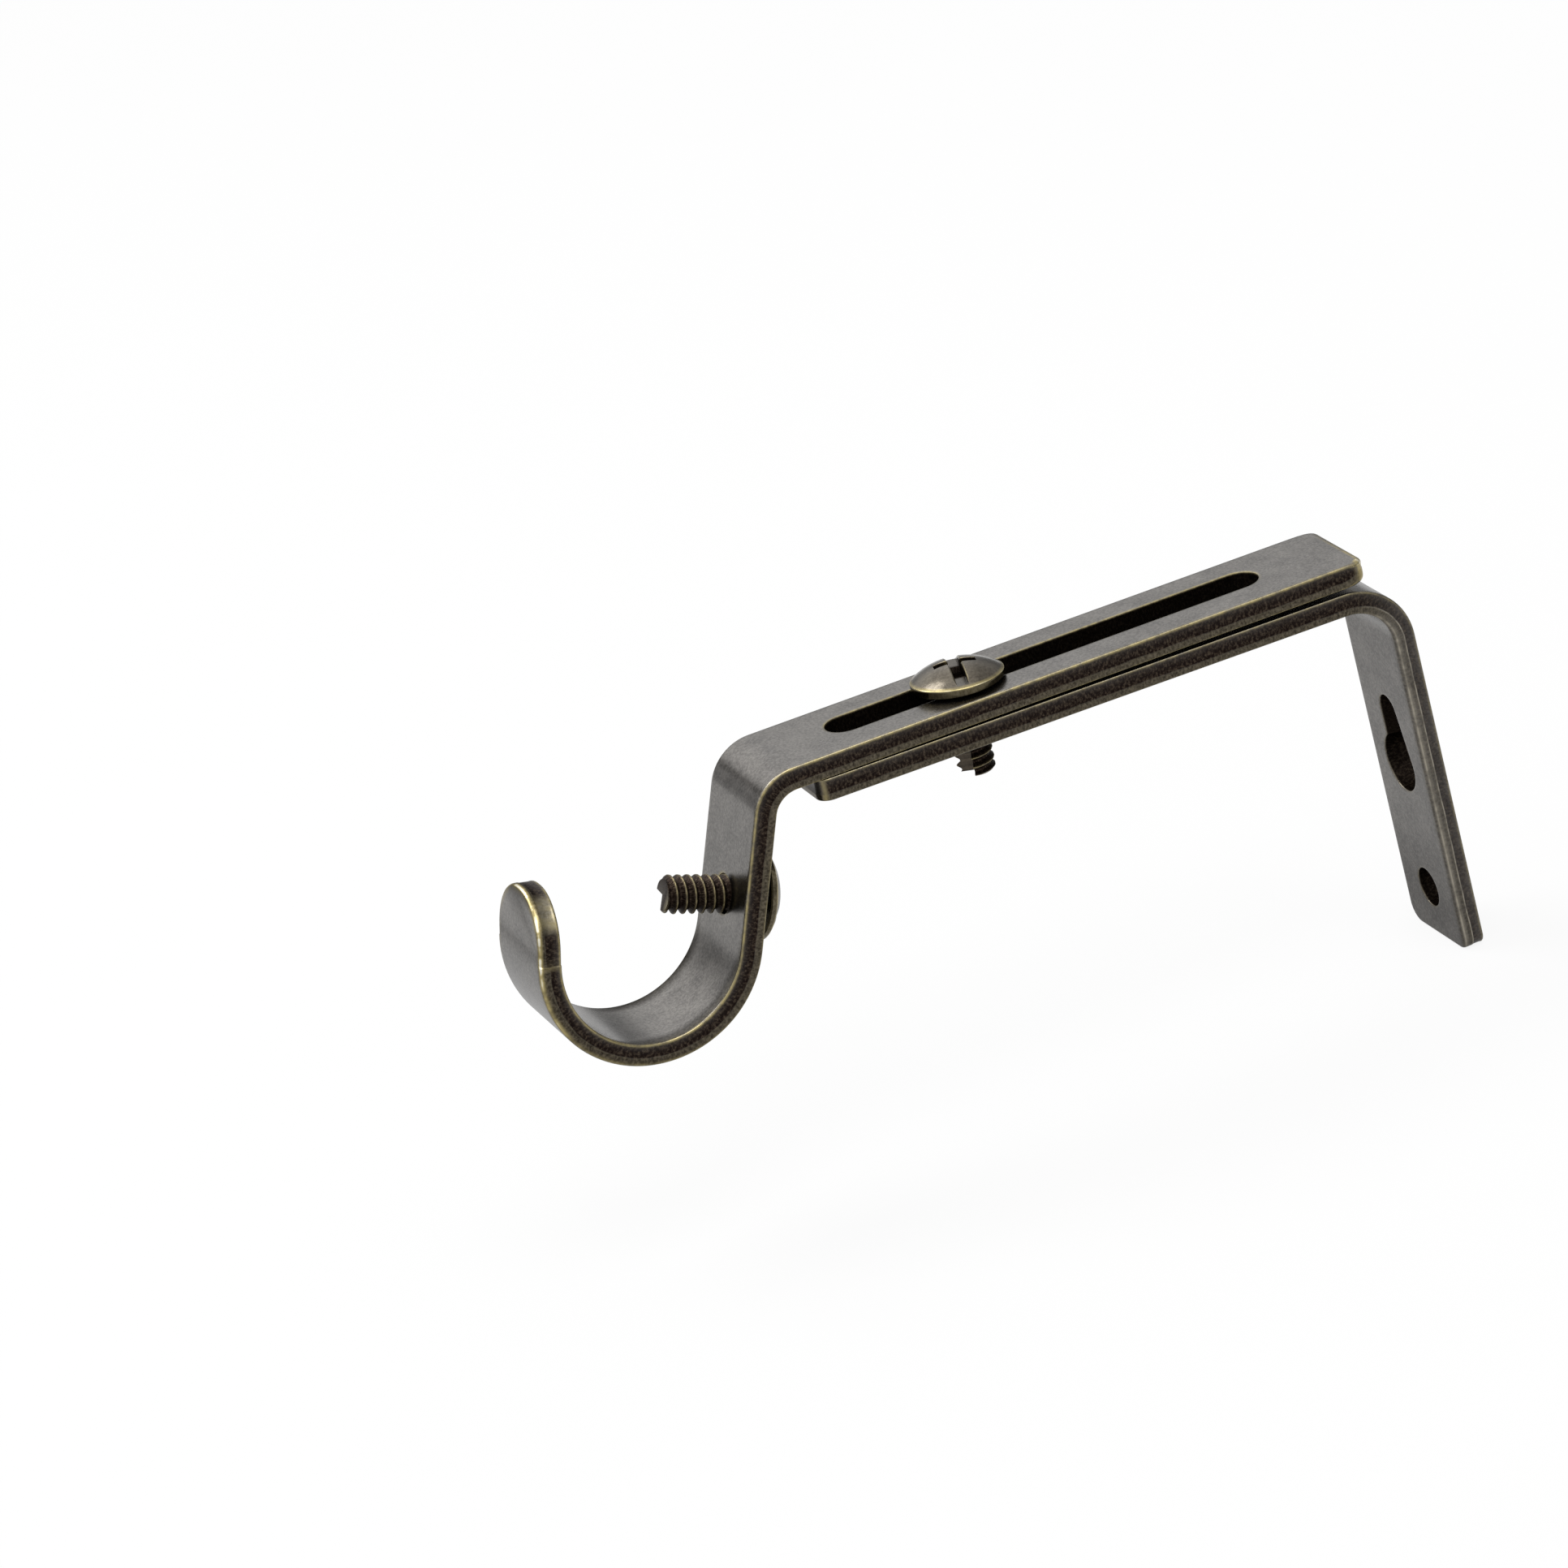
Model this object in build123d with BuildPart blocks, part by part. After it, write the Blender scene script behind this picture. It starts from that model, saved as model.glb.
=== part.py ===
"""Adjustable curtain pole bracket of bent flat strip: hook arm, wall bar and their two screws."""
import os
from math import cos, radians, sin, tan

from build123d import *

# Driving dimensions in millimetres and degrees
# Strip that both bent pieces are stamped from, with its lower edges rolled over by the shear
strip_width = 12.7
strip_thickness = 2.5
edge_roll = 0.4

# Wall bar, measured from the corner where its top would meet the wall
bar_reach = 69.3
bar_lean = 2.05
bar_end_radius = 1.6
wall_bend_radius = 4.8
leg_length = 44.7
leg_end_radius = 1.7

# Holes in the wall leg: the lower one measured up from the leg's end, the keyhole up from the lower one
lower_hole_diameter = 4.5
lower_hole_from_end = 5.9
keyhole_diameter = 6.7
keyhole_height = 15.3
keyhole_slot_width = 3.7
keyhole_slot_rise = 6.3

# Hook arm, lying a little loose on the wall bar, closest at the bar's front end
arm_gap = 0.08
arm_tilt = 0.45
arm_length = 71.6
arm_overhang = 6.15
arm_end_radius = 1.5
slot_length = 51.2
slot_from_rear = 9.9
front_bend_radius = 3.0
drop_lean = 19.5
drop_length = 18.75
hook_radius = 10.0
hook_sweep = 173.0
hook_tip_length = 7.2
hook_tip_flat = 0.2

# Truss-head screws that cut their own thread
thread_diameter = 4.2
thread_clearance = 0.05
slot_clearance = 0.25
screw_length = 10.4
screw_end_chamfer = 0.6
head_diameter = 10.1
head_height = 2.3
head_rim = 0.5
driver_slot_width = 1.3
driver_slot_depth = 1.1
cross_span = 5.6
cross_width = 1.1
cross_depth = 1.5
flute_length = 4.8

# Places of the screws, how far their heads stand off and how they are turned
arm_screw_from_front = 19.8
arm_screw_gap = 0.25
arm_slot_turn = 72.0
arm_flute_turn = 150.0
pole_screw_down_drop = 14.3
pole_screw_gap = 1.0
pole_slot_turn = 20.0
pole_flute_turn = 95.0

os.makedirs("parts", exist_ok=True)

# The wall is the plane y = 0, and the origin is the middle of the lower screw hole on it.
# A side plane has its x rearward along a strip, its y up square to it and its z across the bracket.
half_width = strip_width / 2
across = Vector(1, 0, 0)
towards_room = Vector(0, -1, 0)


def side_plane(origin, lean):
    """The bracket's middle plane seen from the side, with its x sloping down to the wall by the lean."""
    rearward = Vector(0, cos(radians(lean)), -sin(radians(lean)))
    return Plane(origin, x_dir=rearward, z_dir=across)


def side_place(plane, along, up):
    """The point at a place along a side plane's strip and a height square to it."""
    return plane.from_local_coords(Vector(along, up, 0))


def side_way(plane, along, up):
    """The direction with these two parts along a side plane's strip and square to it."""
    return plane.x_dir * along + plane.y_dir * up


# The bar's plane starts at the wall corner and the arm's plane under the arm at the bar's front end
bar_side = side_plane((0, 0, leg_length - lower_hole_from_end), bar_lean)
arm_side = side_plane(side_place(bar_side, -bar_reach, arm_gap), bar_lean - arm_tilt)

# Drop of the hook, from the corner where the arm's top would meet the drop's front
drop = radians(drop_lean)
drop_corner = Vector(-arm_overhang, strip_thickness)
drop_way = Vector(-sin(drop), -cos(drop))
drop_back = Vector(cos(drop), -sin(drop))
hook_start = drop_corner + drop_way * drop_length
bend_turn = 90 - drop_lean
front_bend_outside = front_bend_radius + strip_thickness
front_bend_run = front_bend_outside * tan(radians(bend_turn / 2))
arm_rear = arm_length - arm_overhang

# Seats of the two screw heads, each with its axis out of the head
arm_lift = arm_gap + arm_screw_from_front * tan(radians(arm_tilt))
arm_screw_along = arm_screw_from_front - bar_reach
arm_head = side_place(bar_side, arm_screw_along, arm_lift + strip_thickness + arm_screw_gap)
arm_seat = Plane(arm_head, x_dir=bar_side.x_dir, z_dir=bar_side.y_dir)
pole_head = (
    drop_corner
    + drop_way * pole_screw_down_drop
    + drop_back * (strip_thickness + pole_screw_gap)
)
pole_seat = Plane(
    side_place(arm_side, pole_head.X, pole_head.Y),
    x_dir=across,
    z_dir=side_way(arm_side, drop_back.X, drop_back.Y),
)
thread_hole_radius = thread_diameter / 2 + thread_clearance

# Hook arm: bent strip, rounded ends, rolled lower edges, then the slot and the threaded hole
with BuildPart() as hook_arm:
    with BuildSketch(arm_side):
        with BuildLine():
            arm_line = Line(
                (arm_rear, strip_thickness),
                (drop_corner.X + front_bend_run, strip_thickness),
            )
            front_bend = JernArc(arm_line @ 1, arm_line % 1, front_bend_outside, bend_turn)
            drop_line = Line(front_bend @ 1, hook_start)
            hook_arc = JernArc(drop_line @ 1, drop_line % 1, hook_radius, -hook_sweep)
            tip_way = hook_arc % 1
            Line(hook_arc @ 1, hook_arc @ 1 + tip_way * hook_tip_length)
            offset(amount=strip_thickness, side=Side.LEFT)
        make_face()
    extrude(amount=half_width, both=True)
    arm_normal = Axis(arm_side.origin, arm_side.y_dir)
    fillet(hook_arm.edges().filter_by(arm_normal), radius=arm_end_radius)
    tip_normal = Axis(arm_side.origin, side_way(arm_side, -tip_way.Y, tip_way.X))
    fillet(hook_arm.edges().filter_by(tip_normal), radius=(strip_width - hook_tip_flat) / 2)
    along_arm = Axis(arm_side.origin, arm_side.x_dir)
    lower_edges = hook_arm.edges().filter_by(along_arm).group_by(arm_normal)[0]
    fillet(lower_edges, radius=edge_roll)
    slot_middle = side_place(arm_side, arm_rear - slot_from_rear - slot_length / 2, 0)
    with BuildSketch(Plane(slot_middle, x_dir=arm_side.x_dir, z_dir=arm_side.y_dir)):
        SlotOverall(slot_length, thread_diameter + 2 * slot_clearance)
    extrude(amount=strip_thickness, mode=Mode.SUBTRACT)
    with BuildSketch(pole_seat.offset(-pole_screw_gap)):
        Circle(thread_hole_radius)
    extrude(amount=-strip_thickness, mode=Mode.SUBTRACT)
hook_arm.part.label = "hook_arm"
export_step(hook_arm.part, "parts/hook_arm.step")

# Wall bar: bent strip, rounded ends, rolled inner edges, then the screw holes and the keyhole
with BuildPart() as wall_bar:
    wall_bend_outside = wall_bend_radius + strip_thickness
    wall_turn = 90 - bar_lean
    wall_bend_run = wall_bend_outside * tan(radians(wall_turn / 2))
    with BuildSketch(bar_side):
        with BuildLine():
            bar_line = Line((-bar_reach, 0), (-wall_bend_run, 0))
            wall_bend = JernArc(bar_line @ 1, bar_line % 1, wall_bend_outside, -wall_turn)
            leg_run = (wall_bend % 1) * (leg_length - wall_bend_run)
            Line(wall_bend @ 1, wall_bend @ 1 + leg_run)
            offset(amount=strip_thickness, side=Side.RIGHT)
        make_face()
    extrude(amount=half_width, both=True)
    bar_normal = Axis(bar_side.origin, bar_side.y_dir)
    fillet(wall_bar.edges().filter_by(bar_normal), radius=bar_end_radius)
    fillet(wall_bar.edges().filter_by(Axis.Y), radius=leg_end_radius)
    along_bar = Axis(bar_side.origin, bar_side.x_dir)
    inner_edges = wall_bar.edges().filter_by(along_bar).group_by(bar_normal)[0]
    fillet(inner_edges, radius=edge_roll)
    bar_hole = side_place(bar_side, arm_screw_along, 0)
    with BuildSketch(Plane(bar_hole, x_dir=bar_side.x_dir, z_dir=bar_side.y_dir)):
        Circle(thread_hole_radius)
    extrude(amount=-strip_thickness, mode=Mode.SUBTRACT)
    with BuildSketch(Plane((0, 0, 0), x_dir=across, z_dir=towards_room)):
        Circle(lower_hole_diameter / 2)
        with Locations((0, keyhole_height)):
            Circle(keyhole_diameter / 2)
        with Locations((0, keyhole_height + keyhole_slot_rise / 2)):
            SlotCenterToCenter(keyhole_slot_rise, keyhole_slot_width, rotation=90)
    extrude(amount=strip_thickness, mode=Mode.SUBTRACT)
wall_bar.part.label = "wall_bar"
export_step(wall_bar.part, "parts/wall_bar.step")

# Screws: turned shank and domed head, driver slot with a cross, and a cutting flute at the tip
for name, seat, slot_turn, flute_turn in (
    ("arm_screw", arm_seat, arm_slot_turn, arm_flute_turn),
    ("pole_screw", pole_seat, pole_slot_turn, pole_flute_turn),
):
    head_radius = head_diameter / 2
    thread_radius = thread_diameter / 2
    head_top = seat.offset(head_height).moved(Rotation(0, 0, slot_turn))
    screw_end = seat.offset(-screw_length).moved(Rotation(0, 0, flute_turn))
    with BuildPart() as screw:
        with BuildSketch(Plane(seat.origin, x_dir=seat.x_dir, z_dir=-seat.y_dir)):
            with BuildLine():
                dome = TangentArc((0, head_height), (head_radius, head_rim), tangent=(1, 0))
                Polyline(
                    dome @ 1,
                    (head_radius, 0),
                    (thread_radius, 0),
                    (thread_radius, screw_end_chamfer - screw_length),
                    (thread_radius - screw_end_chamfer, -screw_length),
                    (0, -screw_length),
                    dome @ 0,
                )
            make_face()
        revolve(axis=Axis(seat.origin, seat.z_dir))
        with BuildSketch(head_top):
            Rectangle(head_diameter, driver_slot_width)
        extrude(amount=-driver_slot_depth, mode=Mode.SUBTRACT)
        with BuildSketch(head_top):
            Rectangle(cross_span, cross_width)
            Rectangle(cross_width, cross_span)
        extrude(amount=-cross_depth, mode=Mode.SUBTRACT)
        with BuildSketch(screw_end):
            Rectangle(thread_diameter, thread_diameter, align=(Align.MIN, Align.MIN))
        extrude(amount=flute_length, mode=Mode.SUBTRACT)
    screw.part.label = name
    export_step(screw.part, f"parts/{name}.step")
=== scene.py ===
"""Dress the adjustable curtain pole bracket: two bent strips and two screws in an antique brass finish."""
import logging
import math
from dataclasses import dataclass, field
from enum import Enum
from functools import cached_property

import bmesh
import bpy
from mathutils import Matrix, Vector, noise
from mathutils.geometry import tessellate_polygon


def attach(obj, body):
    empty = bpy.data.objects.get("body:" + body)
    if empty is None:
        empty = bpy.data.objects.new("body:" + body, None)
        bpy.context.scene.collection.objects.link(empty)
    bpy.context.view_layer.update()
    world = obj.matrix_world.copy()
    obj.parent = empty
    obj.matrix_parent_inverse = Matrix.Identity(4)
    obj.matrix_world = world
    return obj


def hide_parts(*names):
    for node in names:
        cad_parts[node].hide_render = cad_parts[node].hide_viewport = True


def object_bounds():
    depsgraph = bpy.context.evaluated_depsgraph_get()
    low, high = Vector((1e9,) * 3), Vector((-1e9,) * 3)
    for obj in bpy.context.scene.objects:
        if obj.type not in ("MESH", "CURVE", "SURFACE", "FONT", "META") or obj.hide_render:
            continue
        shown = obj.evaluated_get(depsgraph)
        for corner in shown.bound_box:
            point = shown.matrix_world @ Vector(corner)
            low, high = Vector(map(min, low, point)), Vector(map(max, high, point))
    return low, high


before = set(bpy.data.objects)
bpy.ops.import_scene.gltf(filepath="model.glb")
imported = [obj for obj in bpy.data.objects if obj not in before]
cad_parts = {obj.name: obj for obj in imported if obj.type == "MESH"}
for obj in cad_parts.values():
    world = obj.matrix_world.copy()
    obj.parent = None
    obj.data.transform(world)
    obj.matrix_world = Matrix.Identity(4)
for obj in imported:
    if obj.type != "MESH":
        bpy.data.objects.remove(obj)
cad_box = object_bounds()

LOG = logging.getLogger("bracket")
MM = 0.001
# Edges shorter than this many metres are closed up
SLIVER = 1e-6
# Points of a tube that lie closer than this many millimetres are one point
SAME_POINT = 1e-5

Pair = tuple[float, float]
Colour = tuple[float, float, float]
Socket = bpy.types.NodeSocket
Value = Socket | float | tuple[float, ...]


class Mark(Enum):
    """What a vertex carries for the finish: shares of each kind of surface and of painted light and shade,
    and places in metres.
    """

    SHEARED = "sheared"
    WEAR_AND_HIGHLIGHT = "brass_wear_and_highlight"
    ROLLED = "rolled"
    PAINTED_SHADE = "painted_shade"
    PALE_HIGHLIGHT = "polish_and_highlight"
    RUN = "run"
    DEPTH = "depth"


Marks = dict[Mark, float]


class Slot(Enum):
    """The record's material slots."""

    STRIP = "strip_plating"
    SCREW = "screw_plating"


def ease(value: float, first: float, last: float) -> float:
    """Rise smoothly from 0 at first to 1 at last.

    Args:
        value: Where to look.
        first: Where the rise starts.
        last: Where it ends.

    Returns:
        The share, from 0 to 1.
    """
    share = min(max((value - first) / (last - first), 0.0), 1.0)
    return share * share * (3 - 2 * share)


@dataclass(frozen=True)
class SidePlane:
    """The bracket's middle plane seen from the side, in millimetres.

    Along runs rearward down the lean, up is square to it, and across is the frame's X.
    """

    origin: Pair
    lean: float

    @property
    def rearward(self) -> Vector:
        """The way along the strip towards the wall."""
        return Vector((0, math.cos(math.radians(self.lean)), -math.sin(math.radians(self.lean))))

    @property
    def upward(self) -> Vector:
        """The way square to the strip."""
        return Vector((0, math.sin(math.radians(self.lean)), math.cos(math.radians(self.lean))))

    def place(self, along: float, up: float, across: float = 0.0) -> Vector:
        """Give a place of the plane in the frame.

        Args:
            along: Millimetres rearward along the strip.
            up: Millimetres square to the strip.
            across: Millimetres to the side.

        Returns:
            The place in millimetres.
        """
        return Vector((across, *self.origin)) + self.rearward * along + self.upward * up

    def way(self, along: float, up: float) -> Vector:
        """The direction with these two parts along the strip and square to it."""
        return self.rearward * along + self.upward * up


@dataclass(frozen=True)
class Stretch:
    """A straight or bent stretch of a face line, in millimetres and degrees, left turns positive."""

    length: float
    turn: float = 0.0

    @classmethod
    def bend(cls, radius: float, turn: float) -> "Stretch":
        """A bend of this radius on the face line."""
        return cls(radius * math.radians(abs(turn)), turn)


class FaceLine:
    """The line of a strip's face seen from the side, from its first end to its last."""

    STRAIGHT_STEP = 1.0
    TURN_STEP = 3.0
    CLOSE = 1e-9

    def __init__(self, start: Pair, heading: float, stretches: list[Stretch]) -> None:
        """Lay the stretches one after another.

        Args:
            start: Along and up of the first end.
            heading: Degrees from the along direction, leftward positive.
            stretches: The stretches in order.
        """
        self.legs: list[tuple[float, Vector, float, Stretch]] = []
        self.stations: list[float] = [0.0]
        place, run = Vector(start), 0.0
        for stretch in stretches:
            self.legs.append((run, place, heading, stretch))
            straight_steps = math.ceil(stretch.length / self.STRAIGHT_STEP)
            steps = max(straight_steps, math.ceil(abs(stretch.turn) / self.TURN_STEP))
            self.stations += [run + stretch.length * (k + 1) / steps for k in range(steps)]
            run += stretch.length
            self.length = run
            place, way = self.at(run)
            heading = math.degrees(math.atan2(way.y, way.x))

    def start_of(self, number: int) -> float:
        """Where a stretch starts, in millimetres from the first end."""
        return self.legs[number][0]

    def at(self, run: float) -> tuple[Vector, Vector]:
        """Follow the line.

        Args:
            run: Millimetres from the first end.

        Returns:
            The place and the direction there, as along and up.
        """
        begun, place, heading, stretch = [leg for leg in self.legs if leg[0] <= run + self.CLOSE][-1]
        gone = run - begun
        way = Vector((math.cos(math.radians(heading)), math.sin(math.radians(heading))))
        if not stretch.turn:
            return place + way * gone, way
        turned = math.radians(stretch.turn) * gone / stretch.length
        radius = stretch.length / math.radians(stretch.turn)
        left = Vector((-way.y, way.x))
        ahead = place + way * (radius * math.sin(turned)) + left * (radius * (1 - math.cos(turned)))
        return ahead, way * math.cos(turned) + left * math.sin(turned)


@dataclass(frozen=True)
class RimPoint:
    """A point of a flat blank's rim, in millimetres, with the way from there into the metal."""

    along: float
    across: float
    into: Vector

    def inset(self, depth: float) -> Vector:
        """The point this far into the metal, as along and across."""
        return Vector((self.along, self.across)) + self.into * depth


Rim = list[RimPoint]


@dataclass(frozen=True)
class Outline:
    """The rim round a blank: its near side, its last end, its far side and its first end, in that order."""

    near: Rim
    tip: Rim
    far: Rim
    heel: Rim

    @property
    def rim(self) -> Rim:
        """The whole rim."""
        return self.near + self.tip + self.far + self.heel


class Blank:
    """Rims of the flat blanks that the strips are bent from, in millimetres and degrees."""

    ARC_STEP = 6.0
    # Room that stops along a side leave to its ends and to a step in it, and how long the step's ledge is
    END_ROOM = 0.2
    STEP_ROOM = 0.3
    LEDGE = 0.12
    # Rim points that lie closer than this are one point
    SAME_PLACE = 0.02

    @classmethod
    def arc(cls, centre: Vector, radius: float, first: float, last: float, hole: bool = False) -> Rim:
        """Walk round an arc of a rim.

        Args:
            centre: Along and across of the arc's middle.
            radius: Its radius.
            first: Angle of its first point, in degrees from the along direction.
            last: Angle of its last point.
            hole: True if the metal is outside the arc.

        Returns:
            The arc's points, both ends included.
        """
        steps = max(2, math.ceil(abs(last - first) / cls.ARC_STEP))
        points = []
        for k in range(steps + 1):
            angle = math.radians(first + (last - first) * k / steps)
            out = Vector((math.cos(angle), math.sin(angle)))
            place = centre + out * radius
            points.append(RimPoint(place.x, place.y, out if hole else -out))
        return points

    @classmethod
    def corners(cls, end: float, half: float, radii: Pair, ahead: int) -> Rim:
        """Walk round the two rounded corners of a blank's end.

        Args:
            end: Where the blank ends.
            half: Half of its width there.
            radii: Corner radii on the near and on the far side.
            ahead: 1 for the last end, walked from near to far, -1 for the first, walked from far to near.

        Returns:
            The end's points.
        """
        near, far = radii
        sides = ((half - near, near, 90, 0), (far - half, far, 0, -90))
        points: Rim = []
        for across, radius, first, last in sides:
            middle = Vector((end - radius * ahead, across))
            angles = (first, last) if ahead > 0 else (180 - first, 180 - last)
            points += cls.arc(middle, radius, *angles)
        return points[::ahead]

    @classmethod
    def outline(
        cls,
        line: FaceLine,
        half: float,
        first_radii: Pair,
        last_radii: Pair,
        step: Pair | None = None,
    ) -> Outline:
        """Walk round the outside of a blank, first along its near side.

        Args:
            line: The face line that the blank is bent along.
            half: Half of the strip's width.
            first_radii: Corner radii of the first end, near and far.
            last_radii: Corner radii of the last end, near and far.
            step: Where the last end's trimmed stretch starts and how much narrower each side is there.

        Returns:
            The outline.
        """
        begins, narrower = step or (line.length, 0.0)
        low, high = max(first_radii), line.length - max(last_radii)
        stops = [low, *(s for s in line.stations if low + cls.END_ROOM < s < high - cls.END_ROOM), high]
        if step:
            kept = [s for s in stops if abs(s - begins) > cls.STEP_ROOM]
            stops = sorted(kept + [begins, begins + cls.LEDGE])
        halves = [half - narrower if s > begins else half for s in stops]
        near = [RimPoint(s, h, Vector((0, -1))) for s, h in zip(stops, halves)]
        far = [RimPoint(s, -h, Vector((0, 1))) for s, h in zip(stops, halves)]
        tip = cls.between(near[-1], cls.corners(line.length, half - narrower, last_radii, 1), far[-1])
        heel = cls.between(far[0], cls.corners(0.0, half, first_radii, -1), near[0])
        return Outline(near, tip, far[::-1], heel)

    @classmethod
    def between(cls, before: RimPoint, points: Rim, after: RimPoint) -> Rim:
        """Leave out the points that lie on the ones before and after them."""
        ends = [Vector((p.along, p.across)) for p in (before, after)]
        return [p for p in points if all((p.inset(0) - end).length > cls.SAME_PLACE for end in ends)]

    @classmethod
    def slot(cls, middle: Pair, half_run: float, radius: float) -> Rim:
        """Walk round a slot along the strip.

        Args:
            middle: Along and across of the slot's middle.
            half_run: Half of the distance between its end centres.
            radius: Half of its width.

        Returns:
            The rim's points.
        """
        along, across = middle
        ahead = cls.arc(Vector((along + half_run, across)), radius, -90, 90, hole=True)
        return ahead + cls.arc(Vector((along - half_run, across)), radius, 90, 270, hole=True)

    @classmethod
    def round_hole(cls, middle: float, radius: float) -> Rim:
        """A round hole in the middle of the strip's width."""
        return cls.arc(Vector((middle, 0)), radius, 0, 360, hole=True)[:-1]

    @classmethod
    def keyhole(cls, middle: float, radius: float, slot_run: float, slot_radius: float) -> Rim:
        """Walk round a keyhole: its slot lies back along the strip, its near side flares into its round.

        Args:
            middle: Place of the round's middle along the strip.
            radius: Radius of the round.
            slot_run: Distance from the round's middle to the middle of the slot's end.
            slot_radius: Half of the slot's width.

        Returns:
            The rim's points.
        """
        cusp = math.degrees(math.asin(slot_radius / radius))
        flare = math.degrees(math.acos((radius - slot_radius) / slot_run))
        bowl = cls.arc(Vector((middle, 0)), radius, cusp - 180, 180 - flare, hole=True)
        end = cls.arc(Vector((middle - slot_run, 0)), slot_radius, 180 - flare, 270, hole=True)
        mitre = bowl[0].into + Vector((0, -1))
        bowl[0] = RimPoint(bowl[0].along, bowl[0].across, mitre * (2 / mitre.length_squared))
        return bowl + end


@dataclass(frozen=True)
class EdgePoint:
    """A point of an edge's section: how far it lies in from the rim and under the face, and its marks."""

    inset: float
    depth: float
    marks: Marks = field(default_factory=dict)


@dataclass(frozen=True)
class EdgeWear:
    """A sheared edge at one place of its rim, in millimetres, degrees and shares.

    From the face to the back it has a crisp edge, a torn dark zone, a burnished zone and a rolled edge.

    Attributes:
        crisp: Radius of the crisp edge.
        burnish: Height of the burnished zone.
        roll_in: How far the rolled edge reaches in along the back.
        roll_up: How far it reaches up the side.
        recess: How deep the torn zone lies.
        rub: How bright the crisp edge is rubbed.
        roll_highlight: How strong the painted highlight on the rolled edge is.
        roll_peak: Where that painted highlight is brightest, counted from the side.
        roll_spread: How far that painted highlight spreads.
        highlight_lines: How strong the painted highlight lines are that frame the burnished zone.
        highlight_streak: How strong the painted highlight line over the burnished zone is.
        dull: How dark the burnished zone is.
        taper: How much narrower a hole is at the face.
        edge_shade: How dark the painted shade is on the face beside the edge.
        shear: How dark the torn zone is.
        wear_and_highlight: How far the whole side is rubbed to brass, with a painted highlight where rubbed
            most.
        margin: Width of the ring on the face beside the edge.
        arc_steps: Steps round the rolled edge.
    """

    # Steps round the crisp edge: share of its quarter turn, how torn it is and how rubbed
    CRISP_STEPS = ((0, 0, 0.05), (0.3, 0, 0.3), (0.55, 0, 0.75), (0.8, 0.15, 1.0), (1, 0.5, 0.8))
    # How far under the crisp edge the torn zone starts to sink in, and how far under it has sunk
    TEAR_STARTS = 0.12
    TEAR_SUNK = 0.3
    # Height of the step from the torn zone to the burnished one, and of the line over the burnished zone
    TEAR_STEP = 0.1
    LINE_HEIGHT = 0.12
    # Width of the ring on the face round a hole, and how deep its wall turns dark with painted shade, in
    # crisp radii
    HOLE_RING = 0.25
    SHADE_FROM = 2.2

    crisp: float = 0.22
    burnish: float = 0.6
    roll_in: float = 0.2
    roll_up: float = 0.25
    recess: float = 0.05
    rub: float = 0.8
    roll_highlight: float = 0.3
    roll_peak: float = 45.0
    roll_spread: float = 28.0
    highlight_lines: float = 0.0
    highlight_streak: float = 0.05
    dull: float = 0.15
    taper: float = 0.0
    edge_shade: float = 0.0
    shear: float = 1.0
    wear_and_highlight: float = 0.0
    margin: float = 0.6
    arc_steps: int = 6

    def side_marks(self, shear: float, rub: float = 0.0, rolled: float = 0.0, highlight_share: float = 0.0) -> Marks:
        """Marks of a place on the side.

        Args:
            shear: How torn it is.
            rub: How much brass wear and painted highlight it has.
            rolled: How burnished it is.
            highlight_share: How much of the side's painted highlight lines it has.

        Returns:
            The marks, with the whole side's wear and painted highlight.
        """
        return {
            Mark.SHEARED: shear * self.shear * (1 - self.wear_and_highlight),
            Mark.WEAR_AND_HIGHLIGHT: max(rub, self.wear_and_highlight),
            Mark.ROLLED: rolled * (1 - 0.5 * self.highlight_lines),
            Mark.PALE_HIGHLIGHT: highlight_share * self.highlight_lines,
        }

    def section(self, thickness: float) -> list[EdgePoint]:
        """Follow the edge from the face to the back.

        Args:
            thickness: The strip's thickness.

        Returns:
            The points of the edge's section.
        """
        crisp, recess = self.crisp, self.recess
        roll = thickness - self.roll_up
        torn = roll - self.burnish
        points = [
            EdgePoint(crisp + self.margin, 0),
            # Painted shade on the face beside the edge
            EdgePoint(crisp + self.margin / 2, 0, {Mark.PAINTED_SHADE: 0.7 * self.edge_shade}),
        ]
        for share, shear, rub in self.CRISP_STEPS:
            angle = math.pi / 2 * share
            marks = self.side_marks(shear, rub * self.rub)
            # The painted shade fades out round the crisp edge
            marks[Mark.PAINTED_SHADE] = self.edge_shade * (1 - share)
            points.append(EdgePoint(crisp * (1 - math.sin(angle)), crisp * (1 - math.cos(angle)), marks))
        points += [
            EdgePoint(recess / 2, crisp + self.TEAR_STARTS, self.side_marks(0.72, 0.12 * self.rub)),
            EdgePoint(recess, crisp + self.TEAR_SUNK, self.side_marks(0.84)),
            EdgePoint(recess, (crisp + torn) / 2, self.side_marks(0.96)),
            EdgePoint(recess, torn - self.TEAR_STEP, self.side_marks(1.0)),
            # A painted highlight line frames the top of the burnished zone
            EdgePoint(0, torn, self.side_marks(0.4, self.highlight_streak, 0.8, 1.0)),
            EdgePoint(0, torn + self.LINE_HEIGHT, self.side_marks(self.dull, 0.3 * self.highlight_streak, 1.0)),
            EdgePoint(0, torn + self.burnish / 2, self.side_marks(self.dull, 0, 1.0)),
        ]
        for k in range(self.arc_steps + 1):
            angle = math.pi / 2 * k / self.arc_steps
            inset = self.roll_in * (1 - math.cos(angle))
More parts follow.
